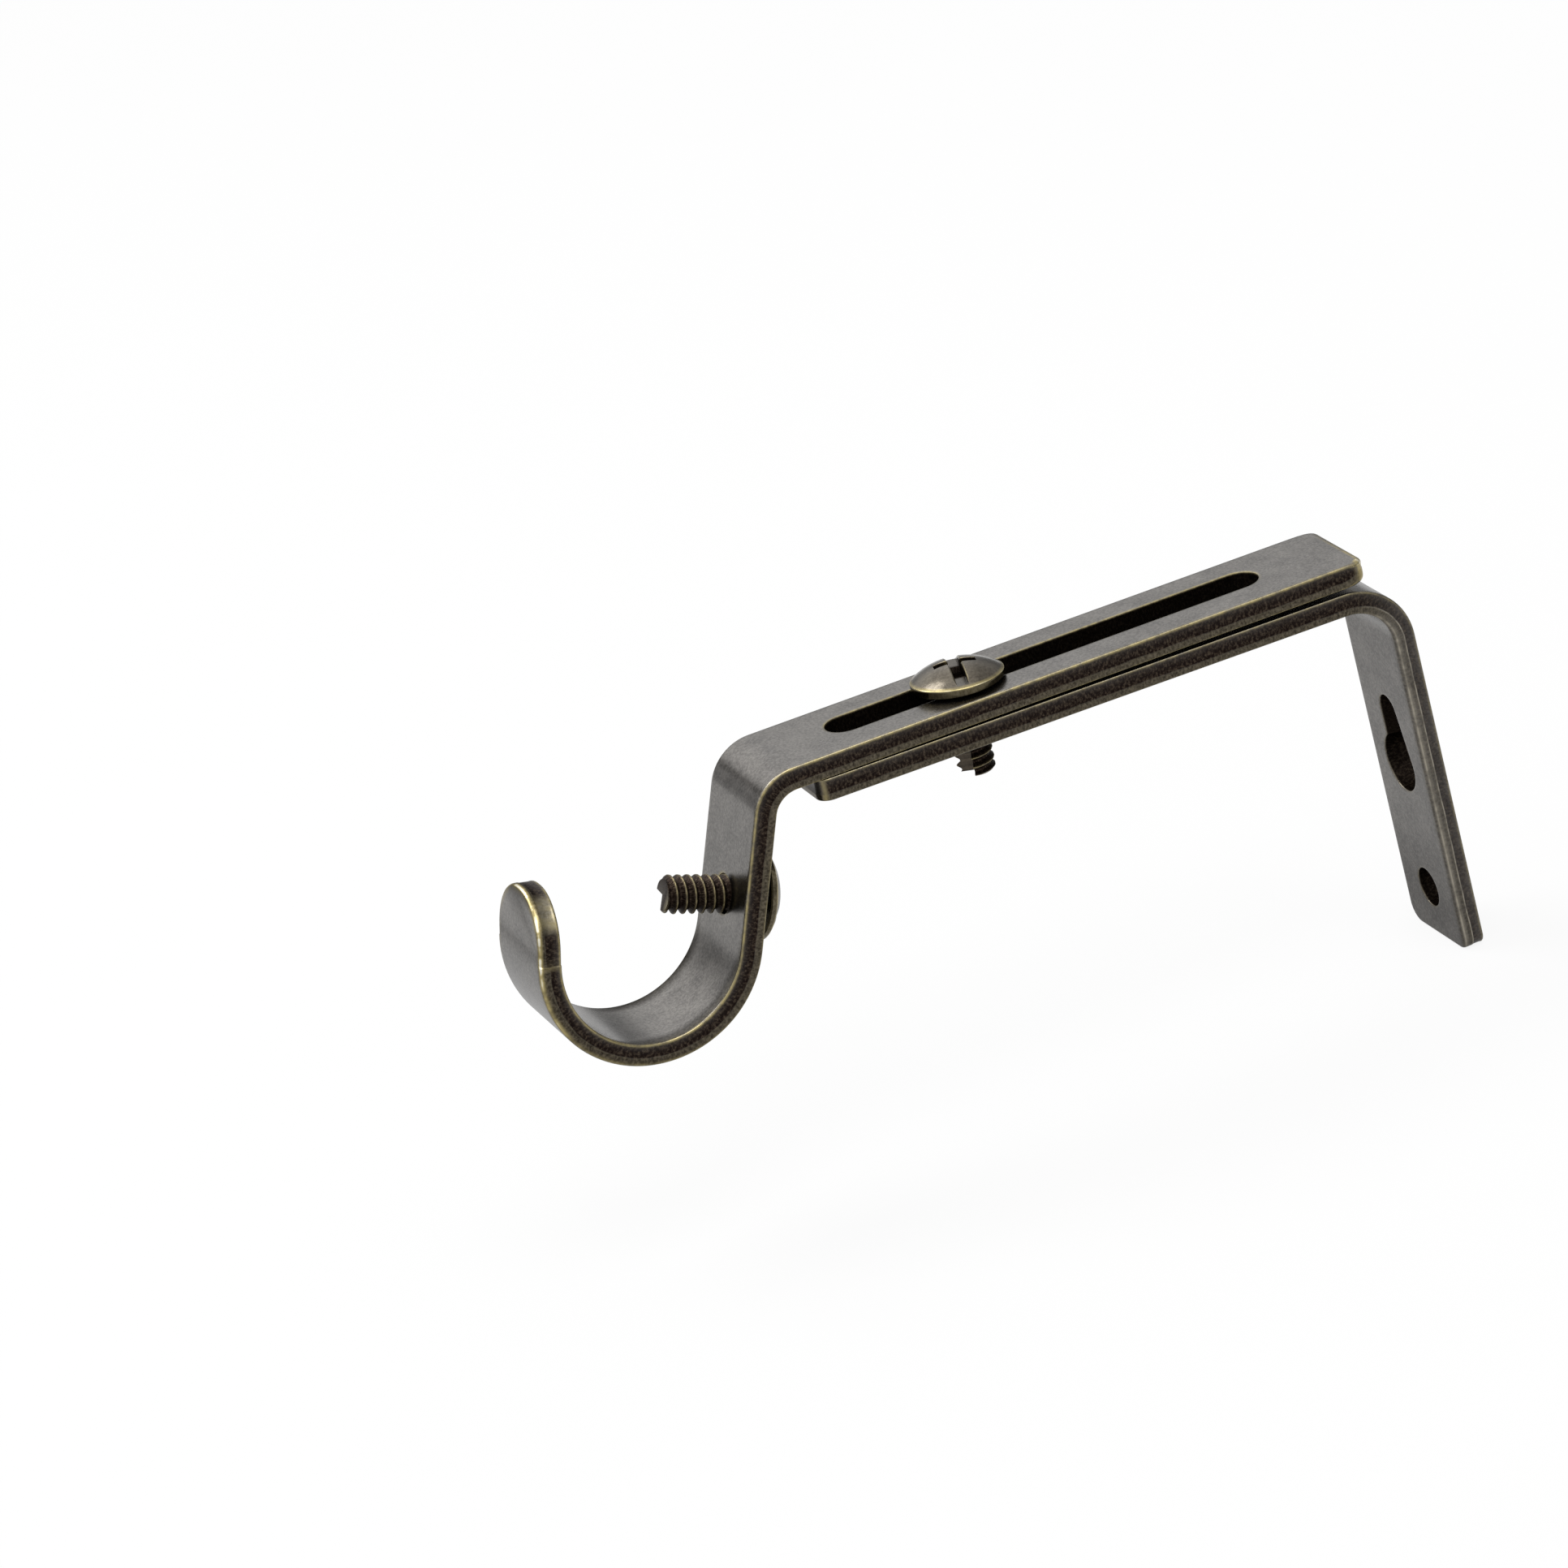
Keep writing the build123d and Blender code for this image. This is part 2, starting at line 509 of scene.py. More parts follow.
            # A painted highlight round the rolled edge, brightest at roll_peak
            painted_highlight = math.exp(-(((math.degrees(angle) - self.roll_peak) / self.roll_spread) ** 2))
            dull, rolled = self.dull * math.cos(angle), math.cos(angle / 1.5)
            marks = self.side_marks(dull, self.roll_highlight * painted_highlight, rolled, painted_highlight)
            points.append(EdgePoint(inset, roll + self.roll_up * math.sin(angle), marks))
        points.append(EdgePoint(self.roll_in + self.margin, thickness))
        return points

    def punched(self, thickness: float) -> list[EdgePoint]:
        """Follow the edge of a hole from the face to the back.

        Args:
            thickness: The strip's thickness.

        Returns:
            The points of the edge's section.
        """
        side = [
            EdgePoint(self.crisp + self.HOLE_RING, 0),
            EdgePoint(self.crisp, 0, {Mark.WEAR_AND_HIGHLIGHT: 0.5 * self.rub}),
            EdgePoint(self.crisp * 0.3, self.crisp * 0.3, {Mark.WEAR_AND_HIGHLIGHT: self.rub, Mark.SHEARED: 0.2}),
            EdgePoint(0, self.crisp, {Mark.WEAR_AND_HIGHLIGHT: 0.4 * self.rub, Mark.SHEARED: 0.8}),
            # Deeper in, the wall is torn and painted in shade
            EdgePoint(0, self.crisp * self.SHADE_FROM, {Mark.SHEARED: 1, Mark.PAINTED_SHADE: 0.85}),
        ]
        face = [EdgePoint(p.inset - self.taper, p.depth, p.marks) for p in side]
        return face + [EdgePoint(p.inset, thickness - p.depth, p.marks) for p in reversed(side)]


class MeshMaker:
    """Collects vertices, faces and marks, and makes a mesh object of them in metres."""

    SMOOTH_ANGLE = math.radians(38)

    def __init__(self, name: str) -> None:
        """Start an empty mesh.

        Args:
            name: Its name.
        """
        self.name = name
        self.places: list[Vector] = []
        self.faces: list[tuple[int, ...]] = []
        self.marks: dict[Mark, list[float]] = {mark: [] for mark in Mark}

    def point(self, place: Vector, marks: Marks) -> int:
        """Add a vertex.

        Args:
            place: Its place in millimetres.
            marks: Its marks, those left out being nought.

        Returns:
            The vertex's number.
        """
        self.places.append(place)
        for mark in Mark:
            self.marks[mark].append(marks.get(mark, 0.0))
        return len(self.places) - 1

    def make(self) -> bpy.types.Object:
        """Make the mesh object.

        Returns:
            The object, in metres.
        """
        mesh = bpy.data.meshes.new(self.name)
        mesh.from_pydata([place * MM for place in self.places], [], self.faces)
        write_marks(mesh, self.marks)
        return finish_mesh(mesh, self.name, self.SMOOTH_ANGLE)


def write_marks(mesh: bpy.types.Mesh, marks: dict[Mark, list[float]]) -> None:
    """Store the marks on a mesh's vertices.

    Args:
        mesh: The mesh.
        marks: A value for each vertex under each mark.
    """
    for mark, values in marks.items():
        layer = mesh.attributes.new(mark.value, "FLOAT", "POINT")
        layer.data.foreach_set("value", values)


def finish_mesh(mesh: bpy.types.Mesh, name: str, smooth_angle: float) -> bpy.types.Object:
    """Close up a mesh's slivers, turn its faces outward, shade it smooth and put it in the scene.

    Args:
        mesh: The mesh, in metres.
        name: The object's name.
        smooth_angle: Edges that turn by more stay sharp, in radians.

    Returns:
        The new object.
    """
    work = bmesh.new()
    work.from_mesh(mesh)
    bmesh.ops.dissolve_degenerate(work, dist=SLIVER, edges=work.edges)
    bmesh.ops.recalc_face_normals(work, faces=work.faces)
    work.to_mesh(mesh)
    work.free()
    mesh.shade_smooth()
    mesh.set_sharp_from_angle(angle=smooth_angle)
    made = bpy.data.objects.new(name, mesh)
    bpy.context.scene.collection.objects.link(made)
    return made


def tube_mesh(name: str, rings: list[list[Vector]], turn: int) -> bpy.types.Mesh:
    """Skin rings of points into a closed tube.

    Args:
        name: The mesh's name.
        rings: The rings from the first end to the last, each with as many points.
        turn: 1 if the rings turn left, seen from outside the first end, and -1 if they turn right.

    Returns:
        The mesh, in the points' own units.
    """
    work = bmesh.new()
    rows = [[work.verts.new(point) for point in ring] for ring in rings]
    for here, there in zip(rows, rows[1:]):
        for k in range(len(here)):
            n = (k + 1) % len(here)
            work.faces.new((here[k], here[n], there[n], there[k]))
    work.faces.new(rows[0][::-turn])
    work.faces.new(rows[-1][::turn])
    bmesh.ops.remove_doubles(work, verts=work.verts, dist=SAME_POINT)
    bmesh.ops.recalc_face_normals(work, faces=work.faces)
    mesh = bpy.data.meshes.new(name)
    work.to_mesh(mesh)
    work.free()
    return mesh


@dataclass
class Piece:
    """A piece that takes the place of a CAD node and rides on its body."""

    name: str = "piece"
    body: str = "body"
    slot: Slot = Slot.STRIP

    def build(self) -> bpy.types.Object:
        """Make the piece's mesh."""
        raise NotImplementedError

    def dress(self, finish: bpy.types.Material) -> None:
        """Build the piece, give it its finish and put it in place of its CAD node.

        Args:
            finish: Its material.
        """
        made = self.build()
        made.data.materials.clear()
        made.data.materials.append(finish)
        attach(made, self.body)
        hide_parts(self.body)
        LOG.info("%s: %d faces, rides on %s", made.name, len(made.data.polygons), self.body)


@dataclass
class BentStrip(Piece):
    """A strip cut from a flat blank and bent along a face line, in millimetres and degrees."""

    # Waves per millimetre of an edge's waver, long and short, and the short ones' share
    LONG_WAVES = 0.4
    SHORT_WAVES = 1.7
    SHORT_SHARE = 0.6

    half_width: float = 6.35
    thickness: float = 2.5
    back_side: int = 1
    hole_margin: float = 1.2

    @cached_property
    def plane(self) -> SidePlane:
        """The side plane that the face line lies in."""
        raise NotImplementedError

    @cached_property
    def line(self) -> FaceLine:
        """The face line."""
        raise NotImplementedError

    def outline(self) -> Outline:
        """The blank's outline."""
        raise NotImplementedError

    def holes(self) -> list[Rim]:
        """The blank's holes."""
        raise NotImplementedError

    def wear_at(self, point: RimPoint, run: float) -> EdgeWear:
        """How the outer edge is worn at a point of the outline, this far round it."""
        return EdgeWear()

    @classmethod
    def ripple(cls, run: float, coarse_row: float, fine_row: float) -> float:
        """Waver along an edge, about nought.

        Args:
            run: Millimetres along the edge.
            coarse_row: Row of the noise that the long waves are read from.
            fine_row: Row that the short waves are read from.

        Returns:
            The waver, of about one at most.
        """
        long_waves = noise.noise(Vector((run * cls.LONG_WAVES, coarse_row, 0)))
        short_waves = noise.noise(Vector((run * cls.SHORT_WAVES, fine_row, 0)))
        return long_waves + cls.SHORT_SHARE * short_waves

    def hole_wear_at(self, point: RimPoint) -> EdgeWear:
        """How a hole's edge is worn at a point of its rim."""
        return EdgeWear(crisp=0.12, rub=0.6)

    def painted_shade_at(self, along: float, depth: float) -> float:
        """How dark the painted shade is at a place along the strip and under its face."""
        return 0.0

    def bent(self, along: float, across: float, depth: float) -> Vector:
        """Bend a place of the flat blank.

        Args:
            along: Millimetres along the face line.
            across: Millimetres to the side.
            depth: Millimetres under the face.

        Returns:
            The place in the frame, in millimetres.
        """
        place, way = self.line.at(min(max(along, 0.0), self.line.length))
        back = Vector((-way.y, way.x)) * self.back_side
        place = place + back * depth
        return self.plane.place(place.x, place.y, across)

    def build(self) -> bpy.types.Object:
        """Make the strip's mesh.

        Returns:
            The strip's object.
        """
        maker = MeshMaker(self.name)
        outline = self.outline()
        outer = self.wall(maker, outline.rim, False)
        holes = self.holes()
        walls = [self.wall(maker, hole, True) for hole in holes]
        for ring in (0, -1):
            rows = [[column[ring] for column in wall] for wall in walls]
            self.cap(maker, outline, [column[ring] for column in outer], holes, rows)
        return maker.make()

    def wall(self, maker: MeshMaker, rim: Rim, punched: bool) -> list[list[int]]:
        """Make the edge surface round a rim.

        Args:
            maker: The mesh that it goes into.
            rim: The rim.
            punched: True for a hole.

        Returns:
            The vertex numbers, one list for each rim point from the face to the back.
        """
        columns = []
        run = 0.0
        for k, point in enumerate(rim):
            run += (point.inset(0) - rim[k - 1].inset(0)).length if k else 0.0
            if punched:
                section = self.hole_wear_at(point).punched(self.thickness)
            else:
                section = self.wear_at(point, run).section(self.thickness)
            column = []
            for step in section:
                place = point.inset(step.inset)
                marks = dict(step.marks)
                marks[Mark.PAINTED_SHADE] = max(marks.get(Mark.PAINTED_SHADE, 0.0), self.painted_shade_at(place.x, step.depth))
                marks[Mark.RUN] = run * MM
                marks[Mark.DEPTH] = step.depth * MM
                column.append(maker.point(self.bent(place.x, place.y, step.depth), marks))
            columns.append(column)
        for here, there in zip(columns, columns[1:] + columns[:1]):
            for k in range(len(here) - 1):
                maker.faces.append((here[k], there[k], there[k + 1], here[k + 1]))
        return columns

    def cap(
        self,
        maker: MeshMaker,
        outline: Outline,
        row: list[int],
        holes: list[Rim],
        hole_rows: list[list[int]],
    ) -> None:
        """Close the face or the back inside the innermost rings of the edge surfaces.

        Args:
            maker: The mesh that it goes into.
            outline: The blank's outline.
            row: The outer ring's vertex numbers.
            holes: The holes' rims.
            hole_rows: The holes' rings.
        """
        count, tip = len(outline.near), len(outline.tip)
        near = row[:count]
        far = row[count + tip:2 * count + tip][::-1]
        maker.faces.append((near[-1], *row[count:count + tip], far[-1]))
        maker.faces.append((far[0], *row[2 * count + tip:], near[0]))
        spans = []
        for hole, hole_row in zip(holes, hole_rows):
            low = min(p.along for p in hole) - self.hole_margin
            high = max(p.along for p in hole) + self.hole_margin
            first = max(k for k in range(count) if outline.near[k].along <= low)
            last = min(k for k in range(count) if outline.near[k].along >= high)
            spans.append((first, last))
            loop = near[first:last + 1] + far[first:last + 1][::-1]
            self.fill(maker, loop, hole_row)
        for k in range(count - 1):
            if not any(first <= k < last for first, last in spans):
                maker.faces.append((near[k], near[k + 1], far[k + 1], far[k]))

    @staticmethod
    def fill(maker: MeshMaker, loop: list[int], hole: list[int]) -> None:
        """Fill a flat loop that has a hole in it.

        Args:
            maker: The mesh that it goes into.
            loop: Vertex numbers round the outside.
            hole: Vertex numbers round the hole.
        """
        numbers = loop + hole
        rings = [[maker.places[k] for k in loop], [maker.places[k] for k in hole]]
        for triangle in tessellate_polygon(rings):
            maker.faces.append(tuple(numbers[k] for k in triangle))


@dataclass
class WallBar(BentStrip):
    """The bar under the arm, bent down into the wall leg, in millimetres and degrees."""

    # Numbers of the face line's stretches
    BEND = 1
    LEG = 2

    name: str = "wall_bar_strip"
    body: str = "wall_bar"
    back_side: int = -1
    reach: float = 69.3
    lean: float = 2.05
    front_radii: Pair = (1.6, 1.6)
    bend_radius: float = 4.8
    leg_length: float = 44.7
    leg_radii: Pair = (1.3, 2.1)
    hole_radius: float = 2.25
    hole_from_end: float = 5.9
    keyhole_radius: float = 3.35
    keyhole_height: float = 15.3
    keyhole_slot_radius: float = 1.85
    keyhole_slot_rise: float = 6.3
    screw_from_front: float = 19.8
    screw_hole_radius: float = 2.15

    @cached_property
    def plane(self) -> SidePlane:
        """The side plane from the corner where the bar's top would meet the wall."""
        return SidePlane((0.0, self.leg_length - self.hole_from_end), self.lean)

    @cached_property
    def line(self) -> FaceLine:
        """The line along the bar's top and down the leg's wall face."""
        turn = 90 - self.lean
        outside = self.bend_radius + self.thickness
        run = outside * math.tan(math.radians(turn / 2))
        stretches = [
            Stretch(self.reach - run),
            Stretch.bend(outside, -turn),
            Stretch(self.leg_length - run),
        ]
        return FaceLine((-self.reach, 0.0), 0.0, stretches)

    def outline(self) -> Outline:
        """The blank with its rounded corners."""
        return Blank.outline(self.line, self.half_width, self.front_radii, self.leg_radii)

    def holes(self) -> list[Rim]:
        """Walk round the clamp screw's hole, the keyhole and the lower hole.

        Returns:
            Their rims.
        """
        lower = self.line.length - self.hole_from_end
        keyhole = Blank.keyhole(
            lower - self.keyhole_height,
            self.keyhole_radius,
            self.keyhole_slot_rise,
            self.keyhole_slot_radius,
        )
        clamp = Blank.round_hole(self.screw_from_front, self.screw_hole_radius)
        return [clamp, keyhole, Blank.round_hole(lower, self.hole_radius)]

    def wear_at(self, point: RimPoint, run: float) -> EdgeWear:
        """Wear the front end smooth and its near corner pale, roll the leg more and paint highlight lines
        on its side.

        Args:
            point: The point of the outline.
            run: Millimetres round the outline to it.

        Returns:
            The edge's wear there.
        """
        leg = ease(point.along, self.line.start_of(self.BEND), self.line.start_of(self.LEG))
        front = 1 - ease(point.along, 0.1, 1.0)
        corner = (1 - ease(point.along, 0.5, 1.1)) * ease(point.across, 5.7, 6.2)
        ripple = self.ripple(run, 3.7, 5.2)
        return EdgeWear(
            crisp=0.14 + 0.08 * leg,
            burnish=0.5 + 0.25 * leg + 0.07 * ripple,
            roll_in=0.2 + 0.2 * leg,
            roll_up=0.25 + 0.2 * leg,
            rub=0.45 - 0.2 * leg,
            roll_highlight=0.12 - 0.02 * leg,
            roll_peak=45 - 30 * leg,
            roll_spread=28 - 12 * leg,
            highlight_lines=leg,
            highlight_streak=0.03 + 0.05 * leg,
            shear=1 - 0.55 * front - 0.34 * leg,
            wear_and_highlight=0.65 * corner,
        )

    def hole_wear_at(self, point: RimPoint) -> EdgeWear:
        """Rub the holes hardly at all, and lean the keyhole's far side in towards the wall.

        Args:
            point: The point of a hole's rim.

        Returns:
            The edge's wear there.
        """
        lower = self.line.length - self.hole_from_end - self.hole_radius
        in_keyhole = self.line.start_of(self.LEG) < point.along < lower
        taper = 0.35 * ease(-point.across, 0.5, 2.5) if in_keyhole else 0.0
        return EdgeWear(crisp=0.1, rub=0.12, taper=taper)

    def painted_shade_at(self, along: float, depth: float) -> float:
        """Paint shade on the leg's room side towards its foot, where the leg mirrors the shadowed floor.

        Args:
            along: Millimetres along the face line.
            depth: Millimetres under the face.

        Returns:
            How dark the painted shade is there.
        """
        if depth <= self.thickness / 2:
            return 0.0
        return 0.26 * ease(along, self.line.length - 17, self.line.length - 3)


@dataclass
class HookArm(BentStrip):
    """The slotted arm with its drop and upturned hook, in millimetres and degrees."""

    # Numbers of the face line's stretches
    BEND = 1
    DROP = 2
    HOOK = 3
    TIP = 4

    name: str = "hook_arm_strip"
    body: str = "hook_arm"
    bar: WallBar = field(default_factory=WallBar)
    gap: float = 0.08
    tilt: float = 0.45
    length: float = 71.6
    overhang: float = 6.15
    rear_radii: Pair = (1.5, 1.3)
    slot_length: float = 51.2
    slot_from_rear: float = 9.9
    slot_radius: float = 2.4
    slot_shift: float = -0.2
    bend_radius: float = 3.0
    drop_lean: float = 19.5
    drop_length: float = 18.75
    hook_radius: float = 10.0
    hook_sweep: float = 173.0
    tip_length: float = 7.2
    tip_trim: float = 0.15
    tip_radii: Pair = (5.6, 6.1)
    screw_down_drop: float = 14.3
    screw_hole_radius: float = 2.15

    @cached_property
    def plane(self) -> SidePlane:
        """The side plane from under the arm at the bar's front end."""
        start = self.bar.plane.place(-self.bar.reach, self.gap)
        return SidePlane((start.y, start.z), self.bar.lean - self.tilt)

    @property
    def drop_way(self) -> Vector:
        """The way down the drop, as along and up."""
        return Vector((-math.sin(math.radians(self.drop_lean)), -math.cos(math.radians(self.drop_lean))))

    @property
    def drop_back(self) -> Vector:
        """The way out of the drop's back, as along and up."""
        return Vector((math.cos(math.radians(self.drop_lean)), -math.sin(math.radians(self.drop_lean))))

    @property
    def bend_run(self) -> float:
        """How far before the drop's corner the front bend starts."""
        return (self.bend_radius + self.thickness) * math.tan(math.radians(90 - self.drop_lean) / 2)

    @cached_property
    def line(self) -> FaceLine:
        """The line along the arm's top, down the drop's front and round inside the hook."""
        stretches = [
            Stretch(self.length - self.bend_run),
            Stretch.bend(self.bend_radius + self.thickness, 90 - self.drop_lean),
            Stretch(self.drop_length - self.bend_run),
            Stretch.bend(self.hook_radius, -self.hook_sweep),
            Stretch(self.tip_length),
        ]
        return FaceLine((self.length - self.overhang, self.thickness), 180.0, stretches)

    def outline(self) -> Outline:
        """The blank with its rounded rear corners and its trimmed round tip."""
        step = (self.line.start_of(self.TIP), self.tip_trim)
        return Blank.outline(self.line, self.half_width, self.rear_radii, self.tip_radii, step)

    def holes(self) -> list[Rim]:
        """Walk round the slot and the pole screw's hole.

        Returns:
            Their rims.
        """
        middle = (self.slot_from_rear + self.slot_length / 2, self.slot_shift)
        slot = Blank.slot(middle, self.slot_length / 2 - self.slot_radius, self.slot_radius)
        screw = self.line.start_of(self.DROP) + self.screw_down_drop - self.bend_run
        return [slot, Blank.round_hole(screw, self.screw_hole_radius)]

    def wear_at(self, point: RimPoint, run: float) -> EdgeWear:
        """Rub the rear corners to brass with painted highlights, paint a highlight on the hook's roll and
        shade beside the U's edge, and smooth the tip's side.

        Args:
            point: The point of the outline.
            run: Millimetres round the outline to it.

        Returns:
            The edge's wear there.
        """
        starts = [self.line.start_of(k) for k in (self.BEND, self.DROP, self.HOOK, self.TIP)]
        bend, drop, hook, tip = starts
        middle = (hook + tip) / 2
        rear = 1 - ease(point.along, 0.5, 2.6)
        corner = (1 - ease(point.along, 0.4, 1.6)) * ease(point.across, 3.0, 5.8)
        low = ease(point.along, hook + 4, middle) - ease(point.along, middle + 4, tip)
        front = ease(point.along, middle + 4, tip)
        # Painted shade along the face beside the edge inside the hook's U
        edge_shaded = ease(point.along, hook - 3, hook + 5) - ease(point.along, middle - 2, middle + 5)
        trimmed = ease(point.along, tip + 0.05, tip + 0.15)
        hanging = ease(point.along, bend, drop)
        ledge = math.exp(-(((point.along - tip) / 0.1) ** 2))
        # A polished zone on the tip's side, also painted lighter as a highlight
        polish_and_highlight = ease(point.along, tip + 3.2, tip + 4.4) - ease(point.along, tip + 6.2, tip + 6.9)
        ripple = self.ripple(run, 9.1, 2.3)
        return EdgeWear(
            crisp=0.22 + 0.25 * rear,
            burnish=(0.6 + 0.08 * ripple) * (1 - 0.7 * trimmed - 0.3 * low),
            roll_in=0.1 + 0.1 * hanging + 0.3 * low + 0.15 * front + 0.4 * rear,
            roll_up=0.12 + 0.13 * hanging + 0.3 * low + 0.7 * rear + 0.3 * front,
            rub=0.75 + 0.6 * corner,
            roll_highlight=0.7 - 0.3 * hanging + 1.0 * front,
            dull=0.15 + 0.3 * low + 0.2 * front,
            edge_shade=0.6 * edge_shaded,
            margin=0.6 + 1.4 * edge_shaded,
            shear=1 - 0.92 * polish_and_highlight,
            wear_and_highlight=max(1.2 * corner, 0.25 * ledge, 0.34 * polish_and_highlight),
        )

    def hole_wear_at(self, point: RimPoint) -> EdgeWear:
        """The slot's far edge is rubbed more than its near one."""
        return EdgeWear(crisp=0.12, rub=0.65 if point.across < 0 else 0.35)

    def painted_shade_at(self, along: float, depth: float) -> float:
        """Paint a shadow line across the front bend, and shade in a band across the tip's outer side and
        towards its end.

        Args:
            along: Millimetres along the face line.
            depth: Millimetres under the face.

        Returns:
            How dark the painted shade is there.
        """
        bend, drop, tip = (self.line.start_of(k) for k in (self.BEND, self.DROP, self.TIP))
        middle = bend + (drop - bend) * 0.64
        band = 0.42 * math.exp(-(((along - middle) / 0.45) ** 2))
        if depth > self.thickness / 2:
            band += 0.22 * math.exp(-(((along - tip - 0.9) / 0.8) ** 2))
            band += 0.4 * ease(along, self.line.length - 2.6, self.line.length - 0.3)
        return band


@dataclass
class TrussScrew(Piece):
    """A truss-head screw that cuts its own thread, in millimetres and degrees.

    It is made in its own frame, with the head's seat at nought and the axis up out of the head.
    """

    SMOOTH_ANGLE = math.radians(32)
    # How far off a surface a place may lie and still be told to be on it, and less where two meet
    SKIN = 0.02
    HAIR = 0.01
    # Width of the rubbed band round the head, and how deep a place has to lie to be inside the flute
    RIM_BAND = 0.25
    FLUTE_GAP = 0.03
    # How near the rim's corner is told to be the corner, and how near the slot's end is told to be the rim
    RIM_CORNER = 0.05
    SLOT_END = 0.1
    # Between which radii the slot's torn floor and the painted shade in its middle fade, and how wide the
    # cross's floor is
    TORN_FADE = (1.9, 2.5)
    SHADE_FADE = (1.7, 2.2)
    CROSS_FLOOR = 0.6
    # Angles at which the rounded lips of the drives are cut, and how much of a drive's depth a lip may take
    LIP_ANGLES = (0, 22.5, 45, 67.5, 90)
    LIP_SHARE = 0.7
    # How many lips a blade flares by over the surface, and how far it stands over the surface and the head
    FLARE = 2.5
    OVER_DOME = 0.3
    OVER_HEAD = 0.5
    # Least depth that a blade's slope is drawn out over, and how far past its top length the slope goes on
    LEAST_DEPTH = 0.2
    MOST_REACH = 1.3
    # Length of the slot's blade in head radii, so that it cuts right across
    SLOT_SPAN = 2.2
    # Share of the neck that has no thread yet, and share of the flank that is rubbed with the crest
    PLAIN_NECK = 0.4
    RUBBED_FLANK = 0.28

    slot: Slot = Slot.SCREW
    seat: Matrix = field(default_factory=lambda: Matrix.Identity(4))
    slot_turn: float = 0.0
    flute_turn: float = 0.0
    thread_turn: float = 0.0
    head_radius: float = 5.05
    head_height: float = 2.3
    rim_height: float = 0.62
    rim_round: float = 0.14
    # How dark the painted shade is on the rim's side
    rim_shade: float = 0.1
    dome_power: float = 2.35
    dome_lean: float = 0.0
    lean_turn: float = 0.0
    length: float = 10.4
    thread_radius: float = 2.1
    thread_depth: float = 0.48
    pitch: float = 1.06
    crest_share: float = 0.1
    root_share: float = 0.8
    neck: float = 0.5
    end_chamfer: float = 0.35
    flute_length: float = 4.8
    slot_width: float = 1.22
    slot_depth: float = 1.38
    slot_lip: float = 0.36
    cross_span: float = 4.6
    cross_foot: float = 3.0
    cross_width: float = 1.25
    cross_depth: float = 1.95
    cross_lip: float = 0.14
    sectors: int = 96
    rows_per_turn: int = 14
    dome_steps: int = 18
    rim_steps: int = 4
    blade_steps: int = 24

    def thread_at(self, angle: float, height: float) -> Pair:
        """Follow the thread.

        Args:
            angle: Radians round the axis.
            height: Millimetres over the head's seat, below nought.

        Returns:
            The radius there, and how near the crest it is, from 0 to 1.
        """
        turn = (height / self.pitch - (angle + math.radians(self.thread_turn)) / math.tau) % 1.0
        off_crest = abs(turn - 0.5) * 2
        fall = min(max((off_crest - self.crest_share) / (self.root_share - self.crest_share), 0.0), 1.0)
        fade_in = ease(-height, self.neck * self.PLAIN_NECK, self.neck)
        radius = self.thread_radius - self.thread_depth * fall * fade_in
        cone = self.thread_radius - self.end_chamfer + (height + self.length)
        return min(radius, cone), (1 - ease(off_crest, 0, self.RUBBED_FLANK)) * fade_in

    def dome_at(self, radius: float) -> float:
        """Height of the dome at a distance from the axis."""
        share = min(radius / self.head_radius, 1.0) ** self.dome_power
        return self.head_height - (self.head_height - self.rim_height) * share

    def head_profile(self) -> list[Pair]:
        """Walk down the head, from near the middle of its dome round its rim to the shank.

        Returns:
            Radius and height of its points.
        """
        out = self.head_radius - self.rim_round
        radii = [out * k / self.dome_steps for k in range(1, self.dome_steps + 1)]
        points = [(radius, self.dome_at(radius)) for radius in radii]
        top = points.pop()[1]
        for k in range(self.rim_steps + 1):
            angle = math.pi / 2 * k / self.rim_steps
            fall = (top - self.rim_height + self.rim_round) * (1 - math.cos(angle))
            points.append((out + self.rim_round * math.sin(angle), top - fall))
        return points + [(self.head_radius, self.rim_round), (out, 0.0), (self.thread_radius, 0.0)]

    def ring(self, height: float, fluted: bool) -> list[Vector]:
        """Walk round the shank, starting at the flute.

        Args:
            height: Millimetres over the head's seat, below nought.
            fluted: True to follow the flute's two faces in its quarter.

        Returns:
            The ring's points.
        """
        quarter = self.sectors // 4
        points = []
        for k in range(self.sectors):
            angle = math.radians(self.flute_turn) + math.tau * k / self.sectors
            share = 1.0
            if fluted and k <= quarter:
                angle = math.radians(self.flute_turn + (0 if 2 * k <= quarter else 90))
                share = abs(1 - 2 * k / quarter)
            radius = self.thread_at(angle, height)[0] * share
            points.append(Vector((radius * math.cos(angle), radius * math.sin(angle), height)))
        return points

    def rings(self) -> list[list[Vector]]:
        """Walk down the screw ring by ring, from its dome to its end.

        Returns:
            The rings, each with as many points.
        """
        angles = [math.radians(self.flute_turn) + math.tau * k / self.sectors for k in range(self.sectors)]
        rings = []
        for radius, height in self.head_profile():
            rings.append([Vector((radius * math.cos(a), radius * math.sin(a), height)) for a in angles])
        flute_top = self.flute_length - self.length
        count = math.ceil(self.length / self.pitch * self.rows_per_turn)
        for k in range(1, count + 1):
            height, above = -self.length * k / count, -self.length * (k - 1) / count
            if height <= flute_top < above:
                rings.append(self.ring(flute_top, False))
                rings.append(self.ring(flute_top, True))
            rings.append(self.ring(height, height < flute_top))
        return rings

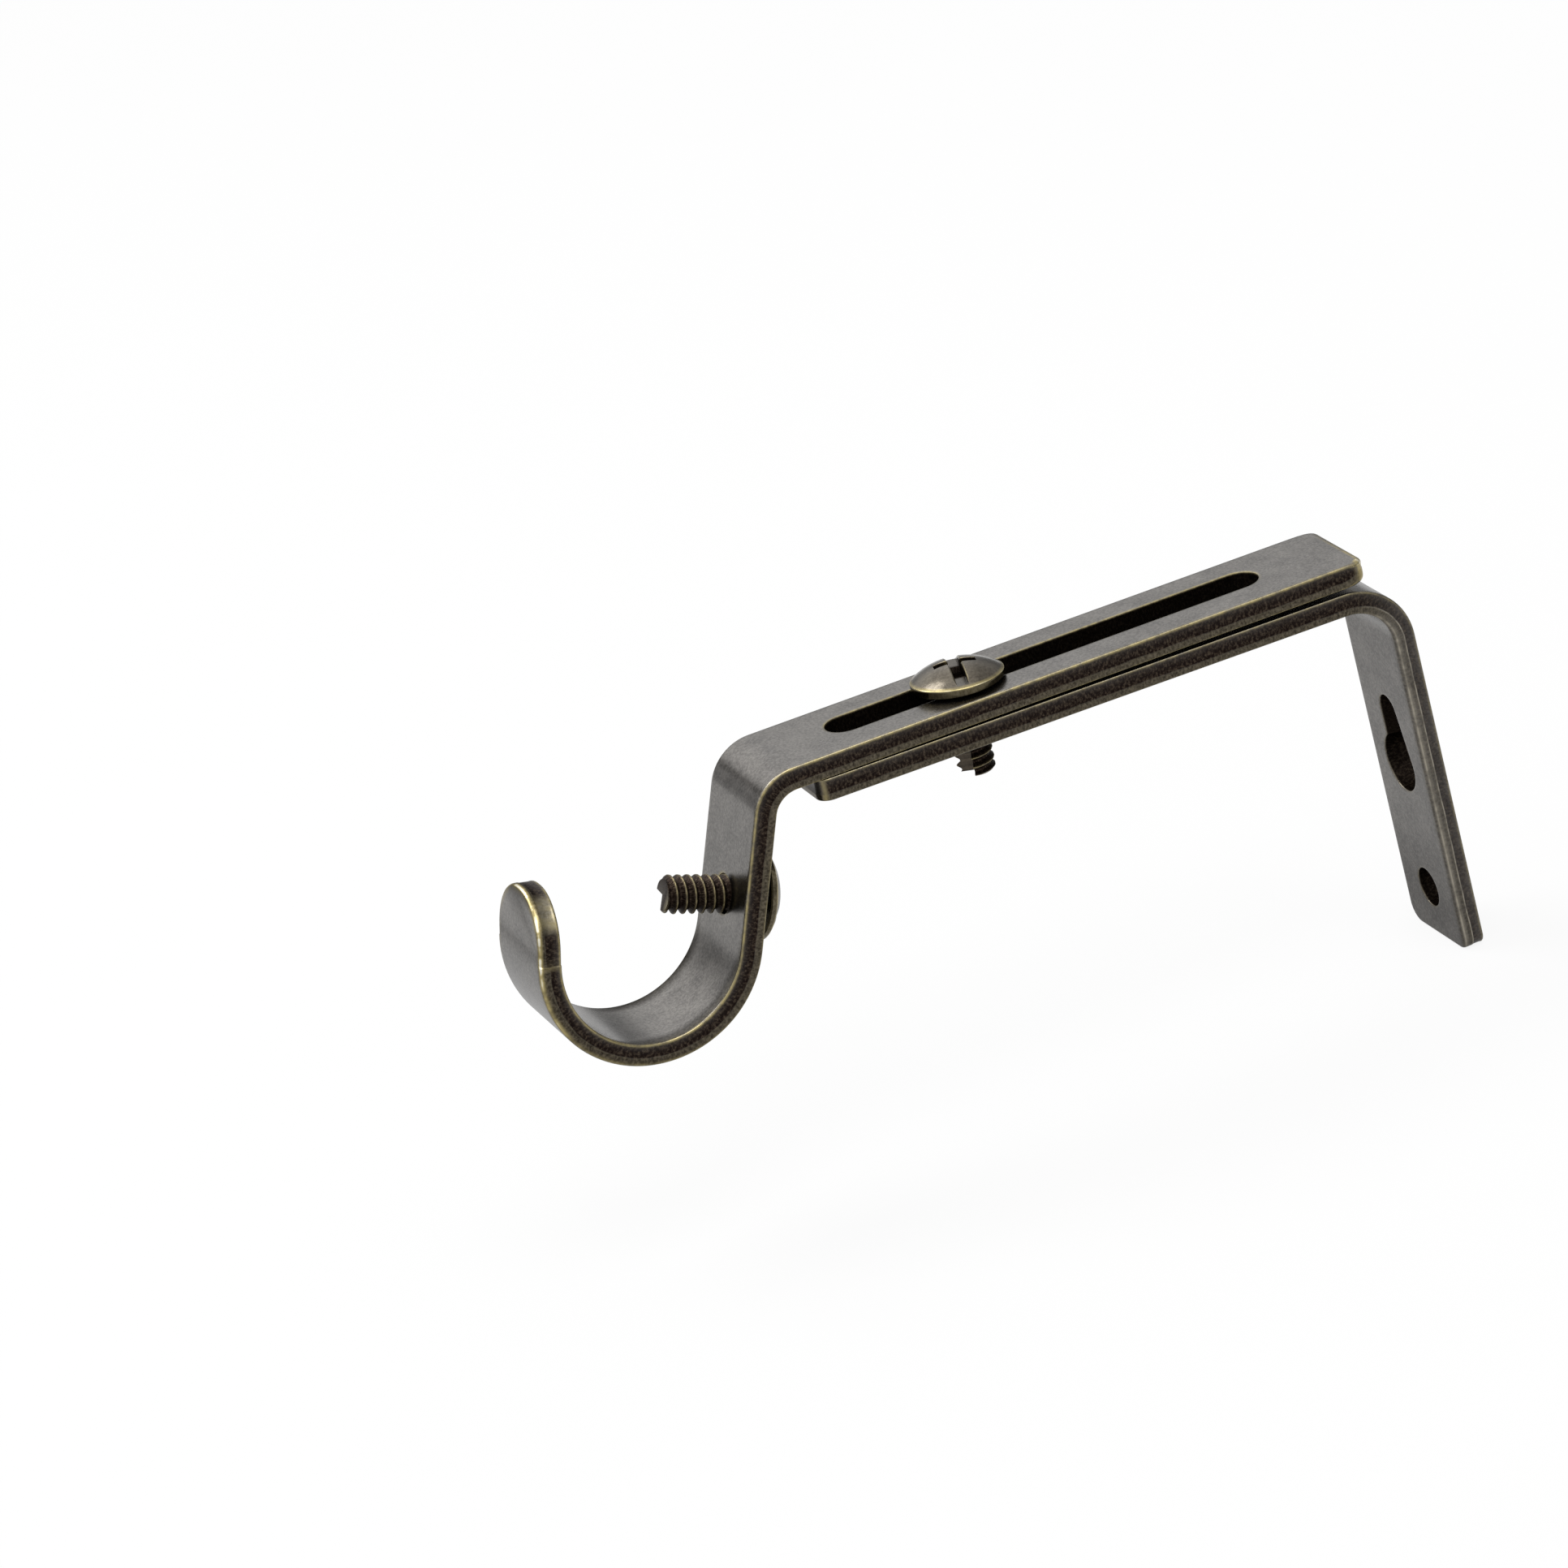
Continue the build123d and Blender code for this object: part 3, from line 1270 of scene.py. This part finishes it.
    def blade_side(self, half: float, foot: float, top: float, lip: float) -> list[Pair]:
        """Walk up one side of a blade's section.

        Args:
            half: Half of the blade's width.
            foot: Height of its foot.
            top: Height of the surface that it cuts.
            lip: How far its side flares there.

        Returns:
            Across and height of the side's points, from its foot to over the head.
        """
        bend = min(lip, self.LIP_SHARE * (top - foot))
        points = [(half, foot)]
        for angle in self.LIP_ANGLES:
            turned_in, turned_up = 1 - math.cos(math.radians(angle)), 1 - math.sin(math.radians(angle))
            points.append((half + bend * turned_in, top - bend * turned_up))
        outside = half + self.FLARE * bend
        points.append((outside, top + self.OVER_DOME))
        points.append((outside, self.head_height + self.OVER_HEAD))
        return points

    def blade(self, turn: float, runs: Pair, width: float, foot: float, lip: float) -> bpy.types.Mesh:
        """Make a cutting blade whose sides flare at the dome, in millimetres.

        Args:
            turn: Degrees round the axis.
            runs: Its length at the dome and at its foot.
            width: Its width.
            foot: Height of its foot.
            lip: How far its sides flare.

        Returns:
            The blade's mesh.
        """
        top_run, foot_run = runs
        turned = Matrix.Rotation(math.radians(turn), 4, "Z")
        rings = []
        for k in range(self.blade_steps + 1):
            along = top_run * (k / self.blade_steps - 0.5)
            dome = self.dome_at(abs(along))
            side = self.blade_side(width / 2, foot, max(dome, foot + self.SKIN), lip)
            ring = []
            for across, height in side + [(-a, h) for a, h in reversed(side)]:
                share = min((height - foot) / max(dome - foot, self.LEAST_DEPTH), self.MOST_REACH)
                reach = along * (foot_run + (top_run - foot_run) * share) / top_run
                ring.append(turned @ Vector((reach, across, height)))
            rings.append(ring)
        return tube_mesh(self.name + "_blade", rings, -1)

    def blades(self) -> list[bpy.types.Mesh]:
        """Make the blades that cut the driver slot and the two bars of the cross, one a touch deeper.

        Returns:
            The blades' meshes.
        """
        slot_run = self.head_radius * self.SLOT_SPAN
        slot_foot = self.head_height - self.slot_depth
        made = [self.blade(self.slot_turn, (slot_run, slot_run), self.slot_width, slot_foot, self.slot_lip)]
        runs = (self.cross_span, self.cross_foot)
        for quarter, deeper in ((0, 0.0), (90, self.SKIN)):
            foot = self.head_height - self.cross_depth - deeper
            made.append(self.blade(self.slot_turn + quarter, runs, self.cross_width, foot, self.cross_lip))
        return made

    def thread_marks(self, radius: float, angle: float, height: float) -> Marks:
        """Marks of a place on the shank: dark roots, crests rubbed to brass with a painted highlight, and a
        grey flute.

        Args:
            radius: Its distance from the axis.
            angle: Its angle in radians.
            height: Its height, below nought.

        Returns:
            The marks.
        """
        surface, crest = self.thread_at(angle, height)
        if radius < surface - self.FLUTE_GAP:
            return {Mark.SHEARED: 0.6}
        return {Mark.SHEARED: 1 - 0.7 * crest, Mark.WEAR_AND_HIGHLIGHT: 0.4 * crest}

    def head_marks(self, radius: float, angle: float, height: float) -> Marks:
        """Marks of a place on the head: a rim rubbed to brass, slot lips with a painted highlight, and
        painted shade on the rim's side and in the drives.

        Args:
            radius: Its distance from the axis.
            angle: Its angle in radians.
            height: Its height.

        Returns:
            The marks.
        """
        under = self.dome_at(radius) - height
        across_slot = abs(radius * math.sin(angle - math.radians(self.slot_turn)))
        beside_slot = across_slot > self.slot_width / 2 + self.slot_lip
        at_slot_floor = height - (self.head_height - self.slot_depth) < self.SKIN
        inside = under > self.cross_lip - self.HAIR
        if height < self.SKIN:
            return {Mark.ROLLED: 1.0, Mark.WEAR_AND_HIGHLIGHT: 0.35}
        # The rim's side, painted in shade
        if radius > self.head_radius - self.RIM_BAND and height < self.rim_height - self.RIM_CORNER:
            return {Mark.ROLLED: 1.0, Mark.WEAR_AND_HIGHLIGHT: 0.1, Mark.PAINTED_SHADE: self.rim_shade}
        # The cross and the slot's floor, painted in shade
        if (at_slot_floor and radius < self.cross_foot * self.CROSS_FLOOR) or (inside and beside_slot):
            return {Mark.SHEARED: 1.0, Mark.PAINTED_SHADE: 1.0}
        # The drives' walls, painted in shade towards the middle
        if inside and radius < self.head_radius - self.SLOT_END:
            sunk = ease(under, self.cross_lip - self.SKIN, self.slot_lip)
            torn = sunk * (1 - 0.85 * ease(radius, *self.TORN_FADE))
            return {Mark.SHEARED: torn, Mark.PAINTED_SHADE: sunk * (1 - ease(radius, *self.SHADE_FADE))}
        # The drives' lips, rubbed with a painted highlight, the slot's more than the cross's
        if under > self.SKIN:
            return {Mark.WEAR_AND_HIGHLIGHT: 0.1 if beside_slot else 0.42}
        band, corner = self.head_radius - self.RIM_BAND, self.head_radius - self.RIM_CORNER
        return {Mark.WEAR_AND_HIGHLIGHT: ease(radius, band, corner)}

    def marks_at(self, place: Vector) -> Marks:
        """Tell the finish what a place of the screw is.

        Args:
            place: The place in the screw's own frame.

        Returns:
            The marks there.
        """
        radius, angle = math.hypot(place.x, place.y), math.atan2(place.y, place.x)
        marks_of = self.thread_marks if place.z < -self.HAIR else self.head_marks
        marks = marks_of(radius, angle, place.z)
        return {Mark.RUN: angle * self.head_radius * MM, Mark.DEPTH: place.z * MM, **marks}

    def leaning(self, place: Vector) -> Vector:
        """Lift or lower a place of the head, whose dome leans a little off its seat.

        Args:
            place: The place in the screw's own frame.

        Returns:
            The place as forged.
        """
        turn = math.radians(self.lean_turn)
        slope = math.tan(math.radians(self.dome_lean))
        lift = slope * (place.x * math.cos(turn) + place.y * math.sin(turn))
        return place + Vector((0, 0, lift * ease(place.z, self.rim_round, 0.6 * self.rim_height)))

    def build(self) -> bpy.types.Object:
        """Make the screw's mesh, cut its drives and seat it.

        Returns:
            The screw's object.
        """
        scene = bpy.context.scene.collection
        uncut = self.name + "_uncut"
        body = bpy.data.objects.new(uncut, tube_mesh(uncut, self.rings(), 1))
        scraps = [body]
        for blade in self.blades():
            cut = body.modifiers.new(blade.name, "BOOLEAN")
            cut.operation = "DIFFERENCE"
            cut.solver = "EXACT"
            cut.object = bpy.data.objects.new(blade.name, blade)
            scraps.append(cut.object)
        for scrap in scraps:
            scene.objects.link(scrap)
        bpy.context.view_layer.update()
        seen = body.evaluated_get(bpy.context.evaluated_depsgraph_get())
        mesh = bpy.data.meshes.new_from_object(seen)
        for scrap in scraps:
            data = scrap.data
            bpy.data.objects.remove(scrap)
            bpy.data.meshes.remove(data)
        mesh.name = self.name
        marks = [self.marks_at(vertex.co) for vertex in mesh.vertices]
        write_marks(mesh, {mark: [m.get(mark, 0.0) for m in marks] for mark in Mark})
        for vertex in mesh.vertices:
            vertex.co = self.leaning(vertex.co)
        mesh.transform(Matrix.Scale(MM, 4) @ self.seat)
        return finish_mesh(mesh, self.name, self.SMOOTH_ANGLE)


class NodeSheet:
    """A node tree with short ways to add to it."""

    def __init__(self, tree: bpy.types.NodeTree) -> None:
        """Work on this tree."""
        self.tree = tree

    def add(self, kind: str) -> bpy.types.Node:
        """Add a shader node of a kind."""
        return self.tree.nodes.new("ShaderNode" + kind)

    def feed(self, socket: Socket, value: Value) -> None:
        """Link a socket to another, or set its value.

        Args:
            socket: The socket that takes it.
            value: The other socket, or the value.
        """
        if isinstance(value, Socket):
            self.tree.links.new(value, socket)
        else:
            socket.default_value = value

    def span(self, value: Value, low: float, high: float, to: Pair = (0.0, 1.0)) -> Socket:
        """Spread a range of values smoothly over another.

        Args:
            value: The value or socket.
            low: The value that becomes the first of to.
            high: The value that becomes the second of to.
            to: The new range.

        Returns:
            The spread value.
        """
        node = self.add("MapRange")
        node.interpolation_type = "SMOOTHSTEP"
        self.feed(node.inputs["Value"], value)
        for name, bound in (("From Min", low), ("From Max", high), ("To Min", to[0]), ("To Max", to[1])):
            node.inputs[name].default_value = bound
        return node.outputs["Result"]

    def math(self, operation: str, first: Value, second: Value) -> Socket:
        """Combine two values.

        Args:
            operation: The operation's name.
            first: The first value.
            second: The second value.

        Returns:
            The outcome.
        """
        node = self.add("Math")
        node.operation = operation
        self.feed(node.inputs[0], first)
        self.feed(node.inputs[1], second)
        return node.outputs[0]

    def blend(self, share: Value, first: Value, second: Value) -> Socket:
        """Mix two colours.

        Args:
            share: How much of the second there is.
            first: The first colour.
            second: The second colour.

        Returns:
            The mixed colour.
        """
        node = self.add("Mix")
        node.data_type = "RGBA"
        self.feed(node.inputs["Factor"], share)
        for name, value in (("A", first), ("B", second)):
            socket = [s for s in node.inputs if s.name == name and s.type == "RGBA"][0]
            self.feed(socket, value if isinstance(value, Socket) else (*value, 1.0))
        return [s for s in node.outputs if s.type == "RGBA"][0]

    def between(self, share: Value, first: Value, second: Value) -> Socket:
        """Mix two numbers.

        Args:
            share: How much of the second there is.
            first: The first number.
            second: The second number.

        Returns:
            The mixed number.
        """
        node = self.add("Mix")
        self.feed(node.inputs["Factor"], share)
        self.feed(node.inputs["A"], first)
        self.feed(node.inputs["B"], second)
        return node.outputs["Result"]

    def rays(self, *kinds: str) -> Socket:
        """Tell rays of some kinds from the others.

        Args:
            kinds: Names of the kinds.

        Returns:
            A socket that is 1 for rays of these kinds.
        """
        path = self.add("LightPath")
        total = path.outputs[f"Is {kinds[0]} Ray"]
        for kind in kinds[1:]:
            total = self.math("MAXIMUM", total, path.outputs[f"Is {kind} Ray"])
        return total


class MaterialSheet(NodeSheet):
    """The node tree of a new material with a principled surface."""

    def __init__(self, name: str) -> None:
        """Start a material with a bare surface.

        Args:
            name: Its name.
        """
        self.material = bpy.data.materials.new(name)
        self.material.use_nodes = True
        super().__init__(self.material.node_tree)
        self.tree.nodes.clear()
        self.surface = self.add("BsdfPrincipled")
        self.output = self.add("OutputMaterial")
        self.feed(self.output.inputs[0], self.surface.outputs[0])
        self.space = self.add("TexCoord").outputs["Object"]

    def mark(self, mark: Mark) -> Socket:
        """Read a mark from the mesh.

        Args:
            mark: The mark.

        Returns:
            Its value.
        """
        node = self.add("Attribute")
        node.attribute_name = mark.value
        return node.outputs["Fac"]

    def edge_space(self, stretch: float) -> Socket:
        """Make coordinates that run along an edge and down its side.

        Args:
            stretch: How much patterns are drawn out down the side.

        Returns:
            The coordinates.
        """
        node = self.add("CombineXYZ")
        self.feed(node.inputs[0], self.mark(Mark.RUN))
        self.feed(node.inputs[1], self.math("DIVIDE", self.mark(Mark.DEPTH), stretch))
        return node.outputs[0]

    def noise(
        self, size: float, detail: float = 3.0, rough: float = 0.55, space: Socket | None = None
    ) -> Socket:
        """Make a noise pattern.

        Args:
            size: Size of its larger spots, in millimetres.
            detail: How many finer layers it has.
            rough: How strong the finer layers are.
            space: Its coordinates, the object's own where left out.

        Returns:
            The pattern, from 0 to 1.
        """
        node = self.add("TexNoise")
        self.feed(node.inputs["Vector"], space or self.space)
        node.inputs["Scale"].default_value = 1 / (size * MM)
        node.inputs["Detail"].default_value = detail
        node.inputs["Roughness"].default_value = rough
        return node.outputs["Fac"]

    def bump(self, height: Value, depth: float, strength: float) -> None:
        """Raise the surface by a pattern.

        Args:
            height: The pattern.
            depth: Its height in millimetres.
            strength: How much of it shows.
        """
        node = self.add("Bump")
        node.inputs["Strength"].default_value = strength
        node.inputs["Distance"].default_value = depth * MM
        self.feed(node.inputs["Height"], height)
        self.feed(self.surface.inputs["Normal"], node.outputs["Normal"])


@dataclass(frozen=True)
class AntiqueBrass:
    """Antique brass plating: grey where brushed, dark where torn and brass where rubbed, with painted
    highlights and shade.

    Sizes of patterns are in millimetres.
    """

    name: str
    face_dark: Colour
    face_light: Colour
    sheared_dark: Colour = (0.012, 0.007, 0.006)
    sheared_light: Colour = (0.088, 0.066, 0.047)
    rolled_dark: Colour = (0.045, 0.038, 0.028)
    rolled_light: Colour = (0.16, 0.138, 0.1)
    # Brass of rubbed places, also laid on as painted highlights
    brass_wear_and_highlight: Colour = (0.52, 0.43, 0.19)
    # Near-white painted highlight where rubbed most
    painted_highlight: Colour = (0.88, 0.84, 0.7)
    # Near-black painted shade for recesses, hole walls and shaded bands
    shade_colour: Colour = (0.006, 0.005, 0.004)
    shade_share: float = 0.8
    # Pale painted highlight lines on the sides
    polish_and_highlight: Colour = (0.4, 0.37, 0.32)
    face_rough: float = 0.24
    sheared_rough: float = 0.5
    rubbed_rough: float = 0.3
    grain: float = 0.3
    grain_share: float = 0.6
    grain_relief: float = 0.25
    cloud: float = 3.5
    fleck: float = 0.3
    fleck_stretch: float = 1.5
    break_run: float = 1.4
    break_stretch: float = 2.5
    relief: float = 0.05
    relief_share: float = 0.5

    def material(self) -> bpy.types.Material:
        """Lay out the finish's nodes.

        Returns:
            The finish's material.
        """
        sheet = MaterialSheet(self.name)
        grain = sheet.noise(self.grain, 2.0, 0.6)
        cloud = sheet.noise(self.cloud, 4.0, 0.6)
        fleck = sheet.noise(self.fleck, 3.0, 0.65, sheet.edge_space(self.fleck_stretch))
        breaks = sheet.noise(self.break_run, 2.0, 0.6, sheet.edge_space(self.break_stretch))
        sheared, rolled, painted_shade = (sheet.mark(m) for m in (Mark.SHEARED, Mark.ROLLED, Mark.PAINTED_SHADE))
        # The brushed face, with the burnished and torn places and the painted shade over it
        tone = sheet.between(self.grain_share, sheet.span(cloud, 0.3, 0.7), sheet.span(grain, 0.25, 0.75))
        colour = sheet.blend(tone, self.face_dark, self.face_light)
        olive = sheet.blend(sheet.span(fleck, 0.3, 0.7), self.rolled_dark, self.rolled_light)
        colour = sheet.blend(rolled, colour, olive)
        dark = sheet.blend(sheet.span(fleck, 0.42, 0.72), self.sheared_dark, self.sheared_light)
        colour = sheet.blend(sheared, colour, dark)
        colour = sheet.blend(sheet.math("MULTIPLY", painted_shade, self.shade_share), colour, self.shade_colour)
        # Painted highlight lines, and brass wear with painted highlights, broken along their run
        broken = sheet.span(breaks, 0.34, 0.62, (0.4, 1.0))
        highlight_lines = sheet.math("MULTIPLY", sheet.mark(Mark.PALE_HIGHLIGHT), broken)
        colour = sheet.blend(highlight_lines, colour, self.polish_and_highlight)
        wear_and_highlight = sheet.math("MULTIPLY", sheet.mark(Mark.WEAR_AND_HIGHLIGHT), broken)
        colour = sheet.blend(wear_and_highlight, colour, self.brass_wear_and_highlight)
        # Near-white painted highlight where the wear and highlight share is highest
        colour = sheet.blend(sheet.span(wear_and_highlight, 0.7, 1.3), colour, self.painted_highlight)
        sheet.feed(sheet.surface.inputs["Base Color"], colour)
        # Painted shade also takes the reflections away
        sheet.feed(sheet.surface.inputs["Specular Tint"], sheet.blend(painted_shade, (1, 1, 1), (0, 0, 0)))
        rough = sheet.between(sheared, self.face_rough, self.sheared_rough)
        rough = sheet.between(wear_and_highlight, rough, self.rubbed_rough)
        rough = sheet.math("ADD", rough, sheet.span(cloud, 0.2, 0.8, (-0.03, 0.05)))
        sheet.feed(sheet.surface.inputs["Roughness"], rough)
        sheet.surface.inputs["Metallic"].default_value = 1.0
        torn = sheet.math("MULTIPLY", sheared, fleck)
        height = sheet.math("ADD", sheet.math("MULTIPLY", grain, self.grain_relief), torn)
        sheet.bump(height, self.relief, self.relief_share)
        return sheet.material


@dataclass(frozen=True)
class Lamp:
    """A square soft lamp, in millimetres and watts."""

    name: str
    place: tuple[float, float, float]
    side: float
    power: float

    def build(self, target: Vector) -> None:
        """Hang the lamp.

        Args:
            target: The place that it points at, in millimetres.
        """
        data = bpy.data.lights.new(self.name, "AREA")
        data.size = self.side * MM
        data.energy = self.power
        lamp = bpy.data.objects.new(self.name, data)
        aim = (target - Vector(self.place)).to_track_quat("-Z", "Y")
        lamp.matrix_world = Matrix.Translation(Vector(self.place) * MM) @ aim.to_matrix().to_4x4()
        bpy.context.scene.collection.objects.link(lamp)


@dataclass
class Studio:
    """Plain pale floor, soft lamps and the camera, in millimetres."""

    camera_place: tuple[float, float, float] = (665.212, -270.905, 327.594)
    camera_target: tuple[float, float, float] = (10.516, -74.053, 44.358)
    camera_roll: float = 14.9928
    lens: float = 164.077
    sensor: float = 36.0
    floor_span: float = 1700.0
    floor_colour: Colour = (0.95, 0.95, 0.95)
    floor_rough: float = 0.9
    paper_spots: float = 40.0
    paper_dark: float = 0.985
    shadow_share: float = 0.12
    floor_shadow_pool: Pair = (0.7, 0.95)
    shadow_pool_reach: Pair = (80.0, 380.0)
    ambient: float = 0.55
    horizon: Pair = (0.12, 0.5)
    mirrored_rise: Pair = (0.45, 1.35)
    wall_side: Pair = (0.3, 0.6)
    mirrored_wall: Pair = (1.0, 0.5)
    lamps: tuple[Lamp, ...] = (
        Lamp("back_light", (-420, -440, 860), 480, 3.8),
        Lamp("top_light", (540, 0, 1080), 600, 4.0),
    )

    def build_camera(self) -> None:
        """Set the camera where the photograph was taken from."""
        data = bpy.data.cameras.new("camera")
        data.lens = self.lens
        data.sensor_width = self.sensor
        data.clip_start = 0.01
        data.clip_end = 100.0
        camera = bpy.data.objects.new("camera", data)
        place, target = Vector(self.camera_place), Vector(self.camera_target)
        aim = (target - place).to_track_quat("-Z", "Y").to_matrix()
        turn = Matrix.Rotation(math.radians(-self.camera_roll), 3, "Z")
        camera.matrix_world = Matrix.Translation(place * MM) @ (aim @ turn).to_4x4()
        bpy.context.scene.collection.objects.link(camera)
        bpy.context.scene.camera = camera

    def floor_material(self) -> bpy.types.Material:
        """Make white paper that shows only a share of the shadows, with a painted shadow pool near the
        bracket that only metal sees.

        Returns:
            The floor's material.
        """
        sheet = MaterialSheet("pale_floor")
        paper = sheet.span(sheet.noise(self.paper_spots), 0.3, 0.7)
        darker = tuple(c * self.paper_dark for c in self.floor_colour)
        sheet.feed(sheet.surface.inputs["Base Color"], sheet.blend(paper, darker, self.floor_colour))
        sheet.surface.inputs["Roughness"].default_value = self.floor_rough
        sheet.surface.inputs["Specular IOR Level"].default_value = 0.0
        reach = sheet.add("VectorMath")
        reach.operation = "LENGTH"
        sheet.feed(reach.inputs[0], sheet.space)
        # Painted shadow pool: glossy rays see the floor darker near the bracket
        near, far = self.shadow_pool_reach
        mirrored = sheet.span(reach.outputs["Value"], near * MM, far * MM, self.floor_shadow_pool)
        white = sheet.add("Emission")
        sheet.feed(white.inputs["Strength"], sheet.between(sheet.rays("Camera"), mirrored, 1.0))
        mix = sheet.add("MixShader")
        seen = sheet.rays("Camera", "Glossy", "Transmission")
        sheet.feed(mix.inputs[0], sheet.math("MULTIPLY", seen, 1 - self.shadow_share))
        sheet.feed(mix.inputs[1], sheet.surface.outputs[0])
        sheet.feed(mix.inputs[2], white.outputs[0])
        sheet.feed(sheet.output.inputs[0], mix.outputs[0])
        return sheet.material

    def build_floor(self, height: float) -> None:
        """Lay the floor.

        Args:
            height: Its height in metres.
        """
        half = self.floor_span * MM / 2
        mesh = bpy.data.meshes.new("floor")
        corners = [(x * half, y * half, height) for x, y in ((-1, -1), (1, -1), (1, 1), (-1, 1))]
        mesh.from_pydata(corners, [], [(0, 1, 2, 3)])
        mesh.materials.append(self.floor_material())
        floor = bpy.data.objects.new("floor", mesh)
        bpy.context.scene.collection.objects.link(floor)

    def build_world(self) -> None:
        """Surround the bracket with white, softer towards the horizon where metal mirrors it."""
        world = bpy.data.worlds.new("studio")
        bpy.context.scene.world = world
        world.use_nodes = True
        sheet = NodeSheet(world.node_tree)
        ground = [n for n in sheet.tree.nodes if n.type == "BACKGROUND"][0]
        ground.inputs["Color"].default_value = (1, 1, 1, 1)
        split = sheet.add("SeparateXYZ")
        sheet.feed(split.inputs[0], sheet.add("TexCoord").outputs["Generated"])
        rise = sheet.span(split.outputs["Z"], *self.horizon, self.mirrored_rise)
        wall = sheet.span(split.outputs["Y"], *self.wall_side, self.mirrored_wall)
        mirrored = sheet.math("MULTIPLY", rise, wall)
        level = sheet.between(sheet.rays("Glossy", "Transmission"), self.ambient, mirrored)
        level = sheet.between(sheet.rays("Camera"), level, 1.0)
        sheet.feed(ground.inputs["Strength"], level)

    def build(self, floor_height: float) -> None:
        """Set up the whole studio.

        Args:
            floor_height: The floor's height in metres.
        """
        self.build_floor(floor_height)
        self.build_world()
        for lamp in self.lamps:
            lamp.build(Vector(self.camera_target))
        self.build_camera()
        bpy.context.scene.view_settings.view_transform = "Standard"


def screw_seat(place: Vector, across: Vector, out: Vector) -> Matrix:
    """Frame of a screw's seat.

    Args:
        place: The seat's middle in millimetres.
        across: The seat's first direction.
        out: The way out of the head.

    Returns:
        The matrix from the screw's own frame to the part's frame.
    """
    rows = Matrix((across, out.cross(across), out)).transposed()
    return Matrix.Translation(place) @ rows.to_4x4()


def make_screws(arm: HookArm, arm_gap: float = 0.25, pole_gap: float = 1.0) -> list[TrussScrew]:
    """Seat the two screws.

    Args:
        arm: The arm that they hold and grip through.
        arm_gap: How far the clamp screw's head stands off the arm, in millimetres.
        pole_gap: How far the pole screw's head stands off the drop, in millimetres.

    Returns:
        The clamp screw and the pole screw.
    """
    bar = arm.bar
    lift = arm.gap + bar.screw_from_front * math.tan(math.radians(arm.tilt)) + arm.thickness + arm_gap
    clamp_place = bar.plane.place(bar.screw_from_front - bar.reach, lift)
    corner = Vector((-arm.overhang, arm.thickness))
    pole_place = corner + arm.drop_way * arm.screw_down_drop + arm.drop_back * (arm.thickness + pole_gap)
    clamp = TrussScrew(
        "arm_screw_cut",
        "arm_screw",
        seat=screw_seat(clamp_place, bar.plane.rearward, bar.plane.upward),
        slot_turn=76.0,
        flute_turn=150.0,
        head_radius=5.12,
        dome_lean=3.2,
        lean_turn=230.0,
        rim_shade=0.5,
    )
    pole = TrussScrew(
        "pole_screw_cut",
        "pole_screw",
        seat=screw_seat(arm.plane.place(*pole_place), Vector((1, 0, 0)), arm.plane.way(*arm.drop_back)),
        slot_turn=20.0,
        flute_turn=95.0,
        thread_turn=-140.0,
    )
    return [clamp, pole]


def finishes() -> dict[Slot, bpy.types.Material]:
    """Make the finish of each material slot.

    Returns:
        The materials by their slots.
    """
    strip = AntiqueBrass(
        name=Slot.STRIP.value,
        face_dark=(0.085, 0.08, 0.075),
        face_light=(0.232, 0.219, 0.204),
    )
    screw = AntiqueBrass(
        name=Slot.SCREW.value,
        face_dark=(0.08, 0.069, 0.054),
        face_light=(0.172, 0.152, 0.121),
        face_rough=0.2,
        break_run=3.0,
    )
    return {Slot.STRIP: strip.material(), Slot.SCREW: screw.material()}


def main() -> None:
    """Build and dress the strips, the screws and the studio."""
    logging.basicConfig(level=logging.INFO, format="%(message)s")
    finish = finishes()
    arm = HookArm()
    for piece in (arm.bar, arm, *make_screws(arm)):
        piece.dress(finish[piece.slot])
    Studio().build(cad_box[0].z)


if __name__ == "__main__":
    main()
